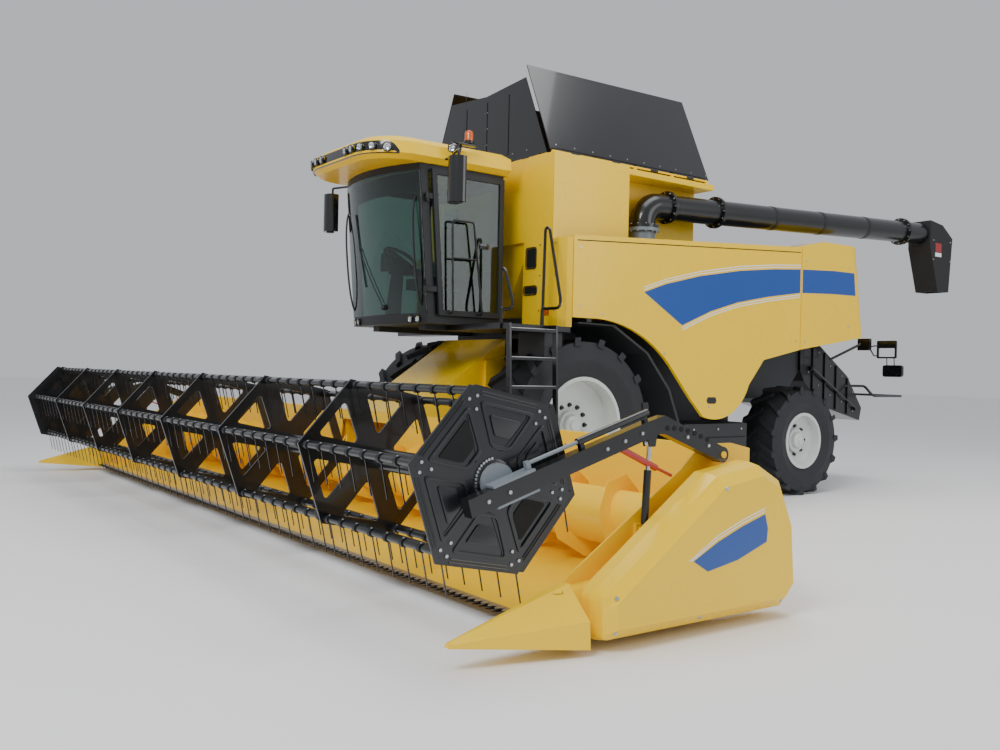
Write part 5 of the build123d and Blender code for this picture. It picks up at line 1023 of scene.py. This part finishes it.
class Bands:
    """The blue bands with their pin lines on the side panels and on the header's end covers."""

    top = ((0.84, 2.57), (1.2, 2.69), (1.79, 2.83), (2.53, 2.955), (3.2, 3.03), (3.78, 3.075))
    low = ((3.78, 2.757), (3.1, 2.66), (2.5, 2.55), (2.0, 2.41), (1.49, 2.21))
    rear = ((3.83, 3.078), (4.53, 3.115), (5.02, 3.12), (5.06, 2.80), (4.5, 2.79), (3.83, 2.76))
    cover = ((-2.69, 0.475), (-2.47, 0.575), (-2.24, 0.655), (-2.02, 0.715), (-1.99, 0.62), (-2.0, 0.535),
             (-2.28, 0.445), (-2.56, 0.4))
    pin_width = 0.012
    cover_pin_width = 0.007

    def build(self) -> None:
        """Lays the bands on both sides."""
        for word, _, look in SIDES:
            body = f"side_panel_{word}"
            panel, hood, cover = Skin(body), Skin("body_panels"), Skin("header_ends")
            band(f"blue_band_{word}", panel, look, self.top + self.low, BLUE_FILM, body, step=0.12)
            band(f"blue_band_rear_{word}", hood, look, self.rear, BLUE_FILM, step=0.12)
            for number, gap in enumerate((0.02, 0.05), 1):
                line = strip(self.top, gap, gap + self.pin_width)
                band(f"pin_line_{word}_{number}", panel, look, line, WHITE_FILM, body, step=0.12)
                line = strip(self.low[::-1], -gap - self.pin_width, -gap)
                band(f"low_pin_line_{word}_{number}", panel, look, line, WHITE_FILM, body, step=0.12)
            band(f"cover_band_{word}", cover, look, self.cover, BLUE_FILM, "feeder_house", step=0.05)
            for number, gap in enumerate((0.016, 0.036), 1):
                start, *others = self.cover[:4]
                line = [(start[0] - gap, start[1])] + [(a, b + gap) for a, b in others]
                band(f"cover_pin_line_{word}_{number}", cover, look, strip(line, 0.0, self.cover_pin_width),
                     WHITE_FILM, "feeder_house", step=0.05)


class BodyTrim:
    """Painted shade of recesses, seams and a crease; latches, louvres, lamps and ladder parts of the body."""

    def build(self) -> None:
        """Builds the trim of the body."""
        self.corner_panels()
        self.side_panels()
        self.hood()
        self.platform()
        self.boxes()

    def corner_panels(self) -> None:
        """Recesses drawn as painted shade with frames round them, markers and bolts on the panels behind the
        cab's sides.
        """
        skin = Skin("body_panels", "grain_tank")
        look = Look.FROM_FRONT
        for word, side, _ in SIDES:
            # each recess is a thin dark sheet on the panel: painted shade
            for label, low, high in (
                ("vent_recess_shade", (0.93, 2.8), (1.1, 3.02)),
                ("slot_recess_shade", (0.9, 2.5), (1.12, 2.58)),
            ):
                outline = rounded(rect(side * low[0], low[1], side * high[0], high[1]), 0.03)
                band(f"{label}_{word}", skin, look, outline, PAINTED_SHADE, "machine", 0.0003, 0.002, 0.1)
            with piece(f"recess_frames_{word}", BLACK_MOULDING) as frames:
                for low, high in (((0.92, 2.79), (1.11, 3.03)), ((0.89, 2.49), (1.13, 2.59))):
                    met = skin.under(look, side * high[0], low[1])
                    if met is not None:
                        corners = rounded(rect(side * low[0], low[1], side * high[0], high[1]), 0.035)
                        loop = [Vector((x, met[0].y - 0.006, z)) for x, z in corners]
                        piped(frames, loop + loop[:1], 0.007, 8)
            marker = rect(side * 1.28, 2.25, side * 1.36, 2.31)
            band(f"side_marker_{word}", skin, look, marker, AMBER_LENS, "machine", 0.0004, 0.012, 0.1)
            places = [(side * x, z) for x in (1.18, 1.45) for z in (2.3, 2.7, 3.05)]
            screws(f"corner_bolts_{word}", skin.places(look, places), 0.011, 0.006)

    def side_panels(self) -> None:
        """Lower grip, a crease drawn as painted shade, and latch screws of the lifting panels."""
        for word, _, look in SIDES:
            body = f"side_panel_{word}"
            skin = Skin(body)
            places = [(-0.15, 2.35), (-0.15, 3.0), (3.7, 2.1), (2.0, 1.22), (1.2, 1.86), (0.2, 2.28)]
            screws(f"panel_screws_{word}", skin.places(look, places), 0.014, 0.005, body)
            grip = [(1.98, 1.26), (2.12, 1.26), (2.14, 1.3), (2.12, 1.34), (1.98, 1.34), (1.96, 1.3)]
            band(f"panel_grip_{word}", skin, look, grip, BLACK_MOULDING, body, 0.0003, 0.004, 0.03)
            # the crease is a thin dark strip on the panel: painted shade
            crease = strip([(-0.2, 3.07), (3.78, 3.3)], 0.0, 0.012)
            band(f"panel_crease_shade_{word}", skin, look, crease, PAINTED_SHADE, body, 0.0002, 0.0008, 0.12)

    def hood(self) -> None:
        """Louvres, lamps and screws of the hood."""
        skin = Skin("body_panels")
        for number, z in enumerate((2.55, 2.63, 2.71, 2.79, 2.87), 1):
            with piece(f"hood_louvre_{number}", SCREEN_STEEL, bevel=0.002) as louvre:
                laid(louvre, skin, Look.FROM_REAR, rect(-0.9, z, 0.9, z + 0.045), 0.0005, 0.01, 0.2)
        for word, side, look in SIDES:
            for label, low, high, lens in (("tail", 2.42, 2.56, RED_LENS), ("turn", 2.57, 2.63, AMBER_LENS)):
                outline = rect(side * 1.28, low, side * 1.45, high)
                band(f"hood_{label}_lamp_{word}", skin, Look.FROM_REAR, outline, lens, "machine",
                     0.0005, 0.02, 0.2)
            places = [(3.9, 2.1), (3.9, 3.2), (4.9, 2.35), (4.9, 3.2)]
            screws(f"hood_screws_{word}", skin.places(look, places), 0.014, 0.005)

    def platform(self) -> None:
        """Treads of the ladder, ribs of the deck, grab loops and the tool box under the deck."""
        steps, first_z, rise = 6, 0.52, 0.302
        with piece("ladder_treads", ZINC_PLATE, bevel=0.002) as tread:
            for number in range(steps):
                z = first_z + number * rise
                lean = 0.07 * (2.11 - z) / 1.63
                boxed(tread, at(1.724 + lean, -1.185, z + 0.0275), at(1.776 + lean, -0.592, z + 0.034))
        half = Vector((0.48, 0.006, 0.004))
        with piece("deck_ribs", BLACK_ENAMEL) as ribs:
            for number in range(14):
                middle = at(1.12, -1.2 + 0.062 * number, 2.112)
                boxed(ribs, middle - half, middle + half)
        for label, back, loop in (
            ("tall", -0.54, [(1.483, 2.3), (1.5, 3.19), (1.57, 3.19), (1.79, 2.38), (1.77, 2.3)]),
            ("short", -1.21, [(1.625, 2.25), (1.61, 2.68), (1.68, 2.68), (1.83, 2.32), (1.81, 2.25)]),
        ):
            with piece(f"grab_loop_{label}", BLACK_ENAMEL) as rail:
                line = [at(x, back, z) for x, z in rounded(loop, 0.05)]
                piped(rail, line + line[:1], 0.017, 12)
                foot, z = loop[0]
                piped(rail, [at(foot, back, 2.105), at(foot, back, z + 0.06)], 0.017, 12)
        with piece("platform_tool_box", ARCH_MOULDING, bevel=0.02) as box:
            boxed(box, at(1.12, -0.6, 1.72), at(1.6, -0.34, 2.049))

    def boxes(self) -> None:
        """Lid seams drawn as painted shade, and latches on the boxes between the wheels."""
        skin = Skin("side_boxes")
        for word, _, look in SIDES:
            # each seam is a thin dark strip on the box: painted shade
            for number, z in enumerate((0.82, 0.62), 1):
                outline = rect(1.75, z, 2.83, z + 0.014)
                band(f"box_seam_shade_{word}_{number}", skin, look, outline, PAINTED_SHADE, "machine",
                     0.0003, 0.003, 0.2)
            places = [(1.85, 0.93), (2.3, 0.93), (2.75, 0.93), (2.0, 0.55), (2.65, 0.55)]
            screws(f"box_screws_{word}", skin.places(look, places), 0.016, 0.008, kind=Fastener.HEX)


class TankTrim:
    """Bolts, folds and ribs of the tank's covers and flaps."""

    pitch = 0.28

    def build(self) -> None:
        """Dresses the two covers and the two flaps."""
        for word, _, look in SIDES:
            body = f"tank_cover_{word}"
            skin = Skin(body)
            places = [(-0.2 + self.pitch * i, 4.2) for i in range(10)]
            screws(f"cover_bolts_{word}", skin.places(look, places), 0.01, 0.006, body, Fastener.HEX)
            fold = rect(-0.2, 4.16, 2.28, 4.175)
            band(f"cover_fold_{word}", skin, look, fold, COVER_ENAMEL, body, 0.0003, 0.006, 0.4)
        for label, look in (("front", Look.FROM_FRONT), ("rear", Look.FROM_REAR)):
            body = f"tank_flap_{label}"
            skin = Skin(body)
            places = [(-0.84 + self.pitch * i, 4.19) for i in range(7)]
            places += [(x, 4.19 + 0.2 * i) for x in (-0.02, 0.02) for i in (1, 2, 3)]
            screws(f"flap_bolts_{label}", skin.places(look, places), 0.009, 0.005, body, Fastener.HEX)
            for number, x in enumerate((-0.45, 0.0, 0.45), 1):
                rib = rect(x - 0.02, 4.2, x + 0.02, 4.92)
                band(f"flap_rib_{label}_{number}", skin, look, rib, COVER_ENAMEL, body, 0.0003, 0.006, 0.3)


class TubeTrim:
    """Flange bolts, straps and reflectors of the unloading tube."""

    pivot = Vector(JOINTS["unloading_tube_swing"]["pos_m"])
    rise = radians(2.2)
    yaw = radians(3.0)
    flange_ring = 0.184
    flange_bolts = 12

    def over_pivot(self, z: float) -> Vector:
        """A point on the tube's pivot axis."""
        return Vector((self.pivot.x, self.pivot.y, z))

    def along(self, reach: float) -> Place:
        """A point on the tube's middle line at a reach from its pivot, and the tube's direction."""
        way = Vector((sin(self.yaw) * cos(self.rise), cos(self.yaw) * cos(self.rise), sin(self.rise)))
        return self.over_pivot(3.69) + way * reach, way

    def build(self) -> None:
        """Dresses the tube, its turret and its spout."""
        self.flanges()
        self.straps()
        self.reflectors()

    def flanges(self) -> None:
        """Rings of bolts on both faces of every flange."""
        bolts = []
        for reach in (0.4, 1.25, 5.25):
            middle, way = self.along(reach)
            for sense in (1, -1):
                face = middle + way * sense * 0.02
                bolts.extend(ringed(face, way * sense, self.flange_ring, self.flange_bolts))
        elbow = ringed(self.over_pivot(3.4403), UP, self.flange_ring, self.flange_bolts)
        turret = ringed(self.over_pivot(3.36), -UP, self.flange_ring, self.flange_bolts)
        screws("tube_flange_bolts", bolts, 0.013, 0.012, "unloading_tube", Fastener.HEX)
        screws("elbow_flange_bolts", elbow, 0.013, 0.012, "unloading_tube", Fastener.HEX)
        screws("turret_flange_bolts", turret, 0.013, 0.012, "machine", Fastener.HEX)

    def straps(self) -> None:
        """Straps round the tube and cast ribs on its elbow."""
        with piece("tube_straps", BLACK_MOULDING, "unloading_tube") as straps:
            for reach in (2.3, 3.3, 4.3):
                turned(straps, rect(0.159, -0.03, 0.1635, 0.03), *self.along(reach), 32)
        with piece("elbow_ribs", BLACK_ENAMEL, "unloading_tube") as casting:
            for angle in (radians(50), radians(90), radians(130)):
                run = []
                for step in range(5):
                    lean = step / 4 * pi / 2
                    x, y = 0.163 * cos(angle), -0.163 * sin(angle) * cos(lean)
                    run.append(self.over_pivot(3.44) + Vector((x, y, 0.02 + 0.16 * sin(lean))))
                piped(casting, run, 0.009, 8, True)

    def reflectors(self) -> None:
        """Plain reflectors and rivets on the rubber spout."""
        spout = Skin("spout")
        for word, _, look in SIDES:
            for label, low, high, finish in (
                ("reflector", 3.62, 3.76, RED_LENS),
                ("marker", 3.55, 3.61, WHITE_FILM),
            ):
                band(f"spout_{label}_{word}", spout, look, rect(7.1, low, 7.26, high), finish,
                     "unloading_tube", 0.0004, 0.003, 0.2)
        places = [(x, z) for x in (7.05, 7.5) for z in (3.2, 3.5, 3.8)]
        screws("spout_rivets", spout.places(Look.FROM_LEFT, places), 0.012, 0.006, "unloading_tube")


@dataclass
class Wheel:
    """Nuts, washers and hub cap of one wheel."""

    body: str
    side: int
    dish: float
    nut_ring: float
    nut_count: int
    hub_radius: float

    def build(self) -> None:
        """Dresses the wheel's dished centre."""
        body, r = self.body, self.hub_radius
        aim = Vector((self.side, 0, 0))
        middle = Vector(JOINTS[f"{body}_spin"]["pos_m"])
        face = middle + aim * (self.dish + 0.055)
        with piece(f"{body}_hub_cap", RIM_ENAMEL, body) as cap:
            turned(cap, [(0, -0.002), (r, -0.002), (r, 0.02), (r * 0.9, 0.045), (r * 0.55, 0.062),
                         (r * 0.5, 0.08), (0, 0.085)], face, aim, 32)
        skin = Skin(body.replace("wheel", "rim"))
        starts = ringed(middle + aim * 0.6, aim, self.nut_ring, self.nut_count)
        met = [skin.touch(foot, -aim) for foot, _ in starts]
        spots = [(found[0], aim) for found in met if found is not None]
        fasteners(f"{body}_nuts", spots, 0.021, 0.03, BLACK_ENAMEL, body)
        washers = [(spot - aim * 0.001, way) for spot, way in spots]
        fasteners(f"{body}_washers", washers, 0.03, 0.006, BLACK_ENAMEL, body, Fastener.ROUND)
        bolts = ringed(face + aim * 0.019, aim, r * 0.95, 8)
        screws(f"{body}_cap_bolts", bolts, 0.009, 0.012, body, Fastener.HEX)


class HeaderTrim:
    """Knife sections, cover screws, grips, struts and sheet bolts of the header."""

    guard_pitch = 0.0762

    def build(self) -> None:
        """Dresses the header."""
        self.knife()
        self.ends()
        self.back()

    def knife(self) -> None:
        """Blunt triangular sections on the knife's back bar, one to a guard, each with two rivets."""
        low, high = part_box("knife")
        thick = 0.0025
        count = int((high.x - low.x - 0.04) / self.guard_pitch)
        middles = [(number - (count - 1) / 2) * self.guard_pitch for number in range(count)]
        section = ((-0.036, 0.02), (0.036, 0.02), (0.008, -0.045), (-0.008, -0.045))
        with piece("knife_sections", BARE_STEEL, "knife") as sections:
            for x in middles:
                pulled(sections, [Vector((x + dx, low.y + dy, high.z)) for dx, dy in section], UP * thick)
        rivets = [
            (Vector((x + dx, low.y + 0.03, high.z + thick)), UP) for x in middles for dx in (-0.018, 0.018)
        ]
        screws("knife_rivets", rivets, 0.0045, 0.003, "knife", Fastener.HEX)

    def ends(self) -> None:
        """Screws and grips of the end covers, and the safety struts of the reel's arms."""
        skin = Skin("header_ends")
        for word, side, look in SIDES:
            places = [(-3.3, 0.12), (-3.3, 0.32), (-2.6, 0.12), (-1.8, 0.12), (-1.75, 0.8), (-2.4, 0.9)]
            screws(f"cover_screws_{word}", skin.places(look, places), 0.014, 0.007, "feeder_house")
            patch = rounded(rect(-3.58, 0.335, -3.52, 0.375), 0.012)
            band(f"divider_grip_{word}", skin, look, patch, BLACK_MOULDING, "feeder_house",
                 0.0004, 0.006, 0.1)
            with piece(f"arm_safety_strut_{word}", RED_ENAMEL, "reel_arms") as strut:
                for start, end, radius, sides in (
                    ((-2.74, 1.02), (-3.07, 1.16), 0.022, 12),
                    ((-2.74, 1.02), (-2.6, 0.965), 0.011, 10),
                    ((-3.07, 1.16), (-3.12, 1.182), 0.013, 10),
                ):
                    piped(strut, [at(side * 5.413, *start), at(side * 5.413, *end)], radius, sides)

    def back(self) -> None:
        """Rows of bolts along the header's back sheet, seen from the front and from the rear."""
        skin = Skin("header_frame")
        front = [(-5.0 + 0.5 * i, 1.0) for i in range(21)]
        rear = [(-5.1 + 0.6 * i, 0.85) for i in range(18) if abs(-5.1 + 0.6 * i) > 0.8]
        for name, look, places, radius, height in (
            ("back_sheet_bolts", Look.FROM_FRONT, front, 0.012, 0.008),
            ("rear_sheet_bolts", Look.FROM_REAR, rear, 0.014, 0.01),
        ):
            screws(name, skin.places(look, places), radius, height, "feeder_house", Fastener.HEX)


class ReelTrim:
    """Tine clips, shield panels, hub plates and arm bolts of the reel."""

    half = 5.31
    bays = 7
    bars = 6
    tines = 8
    phase = 48.4
    pivot = Vector(JOINTS["reel_shields_spin"]["pos_m"])

    def build(self) -> None:
        """Dresses the reel."""
        self.clips()
        self.shields()
        self.hubs()
        self.arms()

    def tine_places(self) -> list[float]:
        """Places of the tines along a bar."""
        bay = 2 * (self.half - 0.024) / self.bays
        pitch = (bay - 0.14) / (self.tines - 1)
        return [
            (number - (self.bays - 1) / 2) * bay + (i - (self.tines - 1) / 2) * pitch
            for number in range(self.bays)
            for i in range(self.tines)
        ]

    def clips(self) -> None:
        """Moulded clips that hold the tines on their bars, their screws and a rail along each bar."""
        inner = self.half - 0.06
        along = Vector((1, 0, 0))
        for number in range(1, self.bars + 1):
            body = f"tine_bar_{number}"
            _, y, z = JOINTS[f"{body}_turn"]["pos_m"]
            clips = [(Vector((x - 0.016, y, z)), along) for x in self.tine_places()]
            fasteners(f"{body}_clips", clips, 0.028, 0.032, BLACK_MOULDING, body, Fastener.ROUND, 1.0)
            heads = [(Vector((x, y, z + 0.0265)), UP) for x in self.tine_places()]
            screws(f"{body}_clip_screws", heads, 0.007, 0.006, body, Fastener.HEX)
            with piece(f"{body}_rail", BLACK_ENAMEL, body) as rail:
                section = ((-0.006, 0.018), (0.03, 0.03), (0.032, 0.026), (-0.004, 0.014))
                pulled(rail, [Vector((-inner, y + dy, z + dz)) for dy, dz in section], along * 2 * inner)

    def on_shield(self, x: float, reach: float, angle: float) -> Vector:
        """A point at a reach and an angle round the shields' axis."""
        return Vector((x, self.pivot.y + reach * cos(angle), self.pivot.z + reach * sin(angle)))

    def shields(self) -> None:
        """Bolts, ridges, pressed panels and windows of painted shade on the outer faces of the end shields."""
        skin = Skin("reel_shields")
        for word, side, _ in SIDES:
            aim = Vector((side, 0, 0))
            bolts = []
            ridges, panels, windows = bmesh.new(), bmesh.new(), bmesh.new()
            for corner in range(self.bars):
                turn = radians(self.phase + 60 * corner)
                for reach, swing in ((0.5, -3.2), (0.5, 3.2), (0.43, 0.0)):
                    met = skin.touch(self.on_shield(side * 6.0, reach, turn + radians(swing)), -aim)
                    if met is not None:
                        bolts.append((met[0], aim))
                self.panel(panels, windows, side, turn + radians(30), corner in (1, 4))
                for reach in (0.5, 0.52):
                    face = side * (self.half + 0.001)
                    ends = [self.on_shield(face, reach, turn + radians(swing)) for swing in (7, 53)]
                    piped(ridges, ends, 0.005, 8)
            screws(f"shield_bolts_{word}", bolts, 0.012, 0.009, "reel_shields", Fastener.HEX)
            finished(ridges, f"shield_ridges_{word}", SHIELD_SHEET, "reel_shields")
            finished(panels, f"shield_panels_{word}", SHIELD_SHEET, "reel_shields", 0.003)
            # the windows are dark sheets: painted shade of the openings
            finished(windows, f"shield_window_shade_{word}", PAINTED_SHADE, "reel_shields")

    def panel(self, panels: Shape, windows: Shape, side: int, turn: float, holed: bool) -> None:
        """Adds the pressed panel of one sixth of a shield, with a raised rim.

        Args:
            panels: The shape of the raised rims and swages.
            windows: The shape of the windows, drawn as dark sheets of painted shade.
            side: 1 on the left, -1 on the right.
            turn: Direction of the sixth's middle.
            holed: True if a window of painted shade is in it, False for a swage.
        """
        middle = Vector((side * self.half, self.pivot.y, self.pivot.z))

        def spread(
            start: float, end: float, narrow: float, wide: float, radius: float, out: float = 0.0
        ) -> list[Vector]:
            """Points of a rounded wedge on the sixth, from a start to an end, a height over the face."""
            corners = [(start, -narrow), (end, -wide), (end, wide), (start, narrow)]
            return [
                middle + Vector((side * out, u * cos(turn) - v * sin(turn), u * sin(turn) + v * cos(turn)))
                for u, v in rounded(corners, radius)
            ]

        rim = spread(0.18, 0.425, 0.065, 0.2, 0.035)
        ringed_off(panels, rim, spread(0.2, 0.408, 0.06, 0.172, 0.03), Vector((side * 0.008, 0, 0)))
        # a window is a thin dark sheet: painted shade of the opening
        if holed:
            pulled(windows, spread(0.235, 0.38, 0.062, 0.14, 0.025, 0.0003), Vector((side * 0.0015, 0, 0)))
        else:
            pulled(panels, spread(0.25, 0.36, 0.055, 0.115, 0.02), Vector((side * 0.004, 0, 0)))

    def hubs(self) -> None:
        """Hub plates with bolts and the toothed arcs of the eccentric, on the carriages."""
        body = "reel_carriages"
        for word, side, _ in SIDES:
            aim = Vector((side, 0, 0))
            face = side * (self.half + 0.002)
            middle = self.on_shield(face, 0.0, 0.0)
            with piece(f"hub_plate_{word}", BLACK_ENAMEL, body) as plate:
                turned(plate, [(0.035, 0.0), (0.125, 0.0), (0.125, 0.006), (0.118, 0.009), (0.035, 0.009)],
                       middle, aim, 40)
            with piece(f"eccentric_teeth_{word}", ZINC_PLATE, body) as teeth:
                for i in range(14):
                    foot = self.on_shield(face, 0.132, radians(100 + 9 * i))
                    turned(teeth, [(0, 0), (0.009, 0), (0.009, 0.008), (0, 0.008)], foot, aim, 6)
            bolts = ringed(middle + aim * 0.009, aim, 0.1, 8)
            screws(f"hub_bolts_{word}", bolts, 0.01, 0.009, body, Fastener.HEX)

    def arms(self) -> None:
        """Bolts of the reel's arms, and the holes along their bend drawn as dark discs of painted shade."""
        skin = Skin("reel_arms")
        slope = radians(16.8)
        reaches = (0.15, 0.3, 0.45, 1.2, 1.35)
        bolts = [(-2.76 - reach * cos(slope), 1.285 - reach * sin(slope)) for reach in reaches]
        bolts += [(-2.3, 1.15), (-2.5, 1.21)]
        holes = [(-2.68 + 0.062 * i, 1.27 - 0.00228 * i * i) for i in range(7)]
        for word, _, look in SIDES:
            screws(f"arm_bolts_{word}", skin.places(look, bolts), 0.014, 0.01, "reel_arms", Fastener.HEX)
            # the holes are flat dark discs: painted shade
            fasteners(f"arm_holes_{word}", skin.places(look, holes), 0.017, 0.0035, PAINTED_SHADE, "reel_arms",
                      Fastener.ROUND, 1.0)


class ChopperTrim:
    """Lamps, rams and bolts at the rear."""

    bolts = ((5.15, 1.7), (5.15, 2.1), (5.4, 1.5), (5.4, 2.0), (5.7, 1.35), (5.7, 1.8), (6.0, 1.25),
             (6.0, 1.65), (6.3, 1.1), (6.3, 1.4))

    def build(self) -> None:
        """Dresses the straw chopper."""
        skin = Skin("straw_chopper")
        for word, side, look in SIDES:
            with piece(f"rear_lamp_{word}", RED_LENS, bevel=0.005) as lens:
                outline = [at(side * x, 6.041, z) for x, z in rect(1.11, 2.06, 1.29, 2.22)]
                pulled(lens, outline, BACKWARDS * 0.02)
            screws(f"chopper_bolts_{word}", skin.places(look, self.bolts), 0.012, 0.01, kind=Fastener.HEX)
            self.lamps(word, side)
            with piece(f"chopper_ram_{word}", BLACK_ENAMEL) as ram:
                x = side * 0.86
                piped(ram, [at(x, 5.2, 1.75), at(x, 5.95, 1.35)], 0.018, 12)
                piped(ram, [at(x, 5.75, 1.457), at(x, 6.35, 1.14)], 0.01, 10)
                for radius, back, z in ((0.035, 5.2, 1.75), (0.03, 6.35, 1.14)):
                    turned(ram, [(0, 0), (radius, 0), (radius, 0.05), (0, 0.05)], at(side * 0.815, back, z),
                           Vector((side, 0, 0)))

    def lamps(self, word: str, side: int) -> None:
        """The frame with the rear work lamp, and the tail lamp that hangs below it."""
        with piece(f"rear_lamp_frame_{word}", BLACK_ENAMEL, bevel=0.003) as board:
            rings = (rounded(rect(1.34, 1.93, 1.66, 2.2), 0.02), rounded(rect(1.365, 1.955, 1.635, 2.085), 0.015))
            outer, inner = ([at(side * x, 6.12, z) for x, z in ring] for ring in rings)
            ringed_off(board, outer, inner, BACKWARDS * 0.03)
            for z in (2.12, 1.97):
                bend = ((1.27, 6.02, 2.1), (1.32, 6.08, z), (1.36, 6.135, z))
                piped(board, [at(side * x, back, up) for x, back, up in bend], 0.012, 8)
            for x in (1.5, 1.62):
                piped(board, [at(side * x, 6.135, 1.95), at(side * (x + 0.01), 6.135, 1.8)], 0.008, 8)
        for label, finish, corners, radius, back, thick, bevel in (
            ("shell", GLOSS_MOULDING, rect(1.45, 1.65, 1.77, 1.83), 0.04, 6.105, 0.06, 0.012),
            ("lens", RED_LENS, rect(1.48, 1.675, 1.74, 1.805), 0.03, 6.163, 0.012, 0.004),
        ):
            with piece(f"tail_lamp_{label}_{word}", finish, bevel=bevel) as part:
                outline = [at(side * x, back, z) for x, z in rounded(corners, radius)]
                pulled(part, outline, BACKWARDS * thick)


@dataclass
class Studio:
    """Camera at the photograph's angle, pale floor and soft light."""

    eye: Point = (9.633, -7.044, 1.604)
    azimuth: float = 53.428
    elevation: float = 0.305
    roll: float = -1.292
    lens: float = 34.14
    shift: Flat = (-0.00775, 0.0015)
    floor_reach: float = 90.0
    surround: float = 0.62

    def build(self) -> None:
        """Sets camera, floor and lights."""
        self.camera()
        self.floor()
        self.lights()

    def camera(self) -> None:
        """Sets the camera from its place and three turns."""
        turn, lift, roll = radians(self.azimuth), radians(self.elevation), radians(self.roll)
        back = Vector((sin(turn) * cos(lift), -cos(turn) * cos(lift), sin(lift)))
        right = Vector((cos(turn), sin(turn), 0))
        up = back.cross(right)
        across = right * cos(roll) - up * sin(roll)
        upright = right * sin(roll) + up * cos(roll)
        lens = bpy.data.cameras.new("camera")
        lens.sensor_width = 36.0
        lens.lens = self.lens
        lens.shift_x, lens.shift_y = self.shift
        lens.clip_end = 200.0
        camera = bpy.data.objects.new("camera", lens)
        pose = Matrix((across, upright, back)).transposed().to_4x4()
        camera.matrix_world = Matrix.Translation(at(*self.eye)) @ pose
        bpy.context.scene.collection.objects.link(camera)
        bpy.context.scene.camera = camera

    def floor(self) -> None:
        """A wide pale floor."""
        reach = self.floor_reach
        mesh = bpy.data.meshes.new("floor")
        mesh.from_pydata([(x, y, -0.001) for x, y in rect(-reach, -reach, reach, reach)], [], [(0, 1, 2, 3)])
        ground = bpy.data.objects.new("floor", mesh)
        paint = bpy.data.materials.new("pale_floor")
        paint.use_nodes = True
        shader = paint.node_tree.nodes["Principled BSDF"]
        shader.inputs["Base Color"].default_value = linear("#F4F4F4")
        shader.inputs["Roughness"].default_value = 0.6
        mesh.materials.append(paint)
        bpy.context.scene.collection.objects.link(ground)

    def lights(self) -> None:
        """A bright surround and three large soft lights."""
        world = bpy.data.worlds.new("surround")
        world.use_nodes = True
        world.node_tree.nodes["Background"].inputs[0].default_value = linear("#F7F9FF")
        world.node_tree.nodes["Background"].inputs[1].default_value = self.surround
        bpy.context.scene.world = world
        target = at(0, 0.5, 1.6)
        for name, place, size, power in (
            ("key", (8.0, -12.0, 11.0), 5.0, 1150.0),
            ("top", (2.0, 1.0, 13.0), 9.0, 900.0),
            ("fill", (12.0, 6.0, 6.0), 6.0, 250.0),
        ):
            light = bpy.data.lights.new(name, "AREA")
            light.size = size
            light.energy = power
            holder = bpy.data.objects.new(name, light)
            spot = at(*place)
            holder.matrix_world = Matrix.Translation(spot) @ facing(spot - target).to_4x4()
            bpy.context.scene.collection.objects.link(holder)


def wheels() -> list[Wheel]:
    """The four wheels with their own sizes."""
    return [
        Wheel(f"{axle}_wheel_{word}", side, *sizes)
        for word, side, _ in SIDES
        for axle, sizes in (("front", (0.02, 0.235, 12, 0.125)), ("rear", (0.06, 0.2, 8, 0.11)))
    ]


def main() -> None:
    """Builds the sub-assemblies in order."""
    logging.basicConfig(level=logging.INFO, format="%(message)s")
    for assembly in (
        Studio(), Paintwork(), Brow(), RoofGear(), CabTrim(), Bands(), BodyTrim(), TankTrim(), TubeTrim(),
        *wheels(), HeaderTrim(), ReelTrim(), ChopperTrim(),
    ):
        assembly.build()


if __name__ == "__main__":
    main()
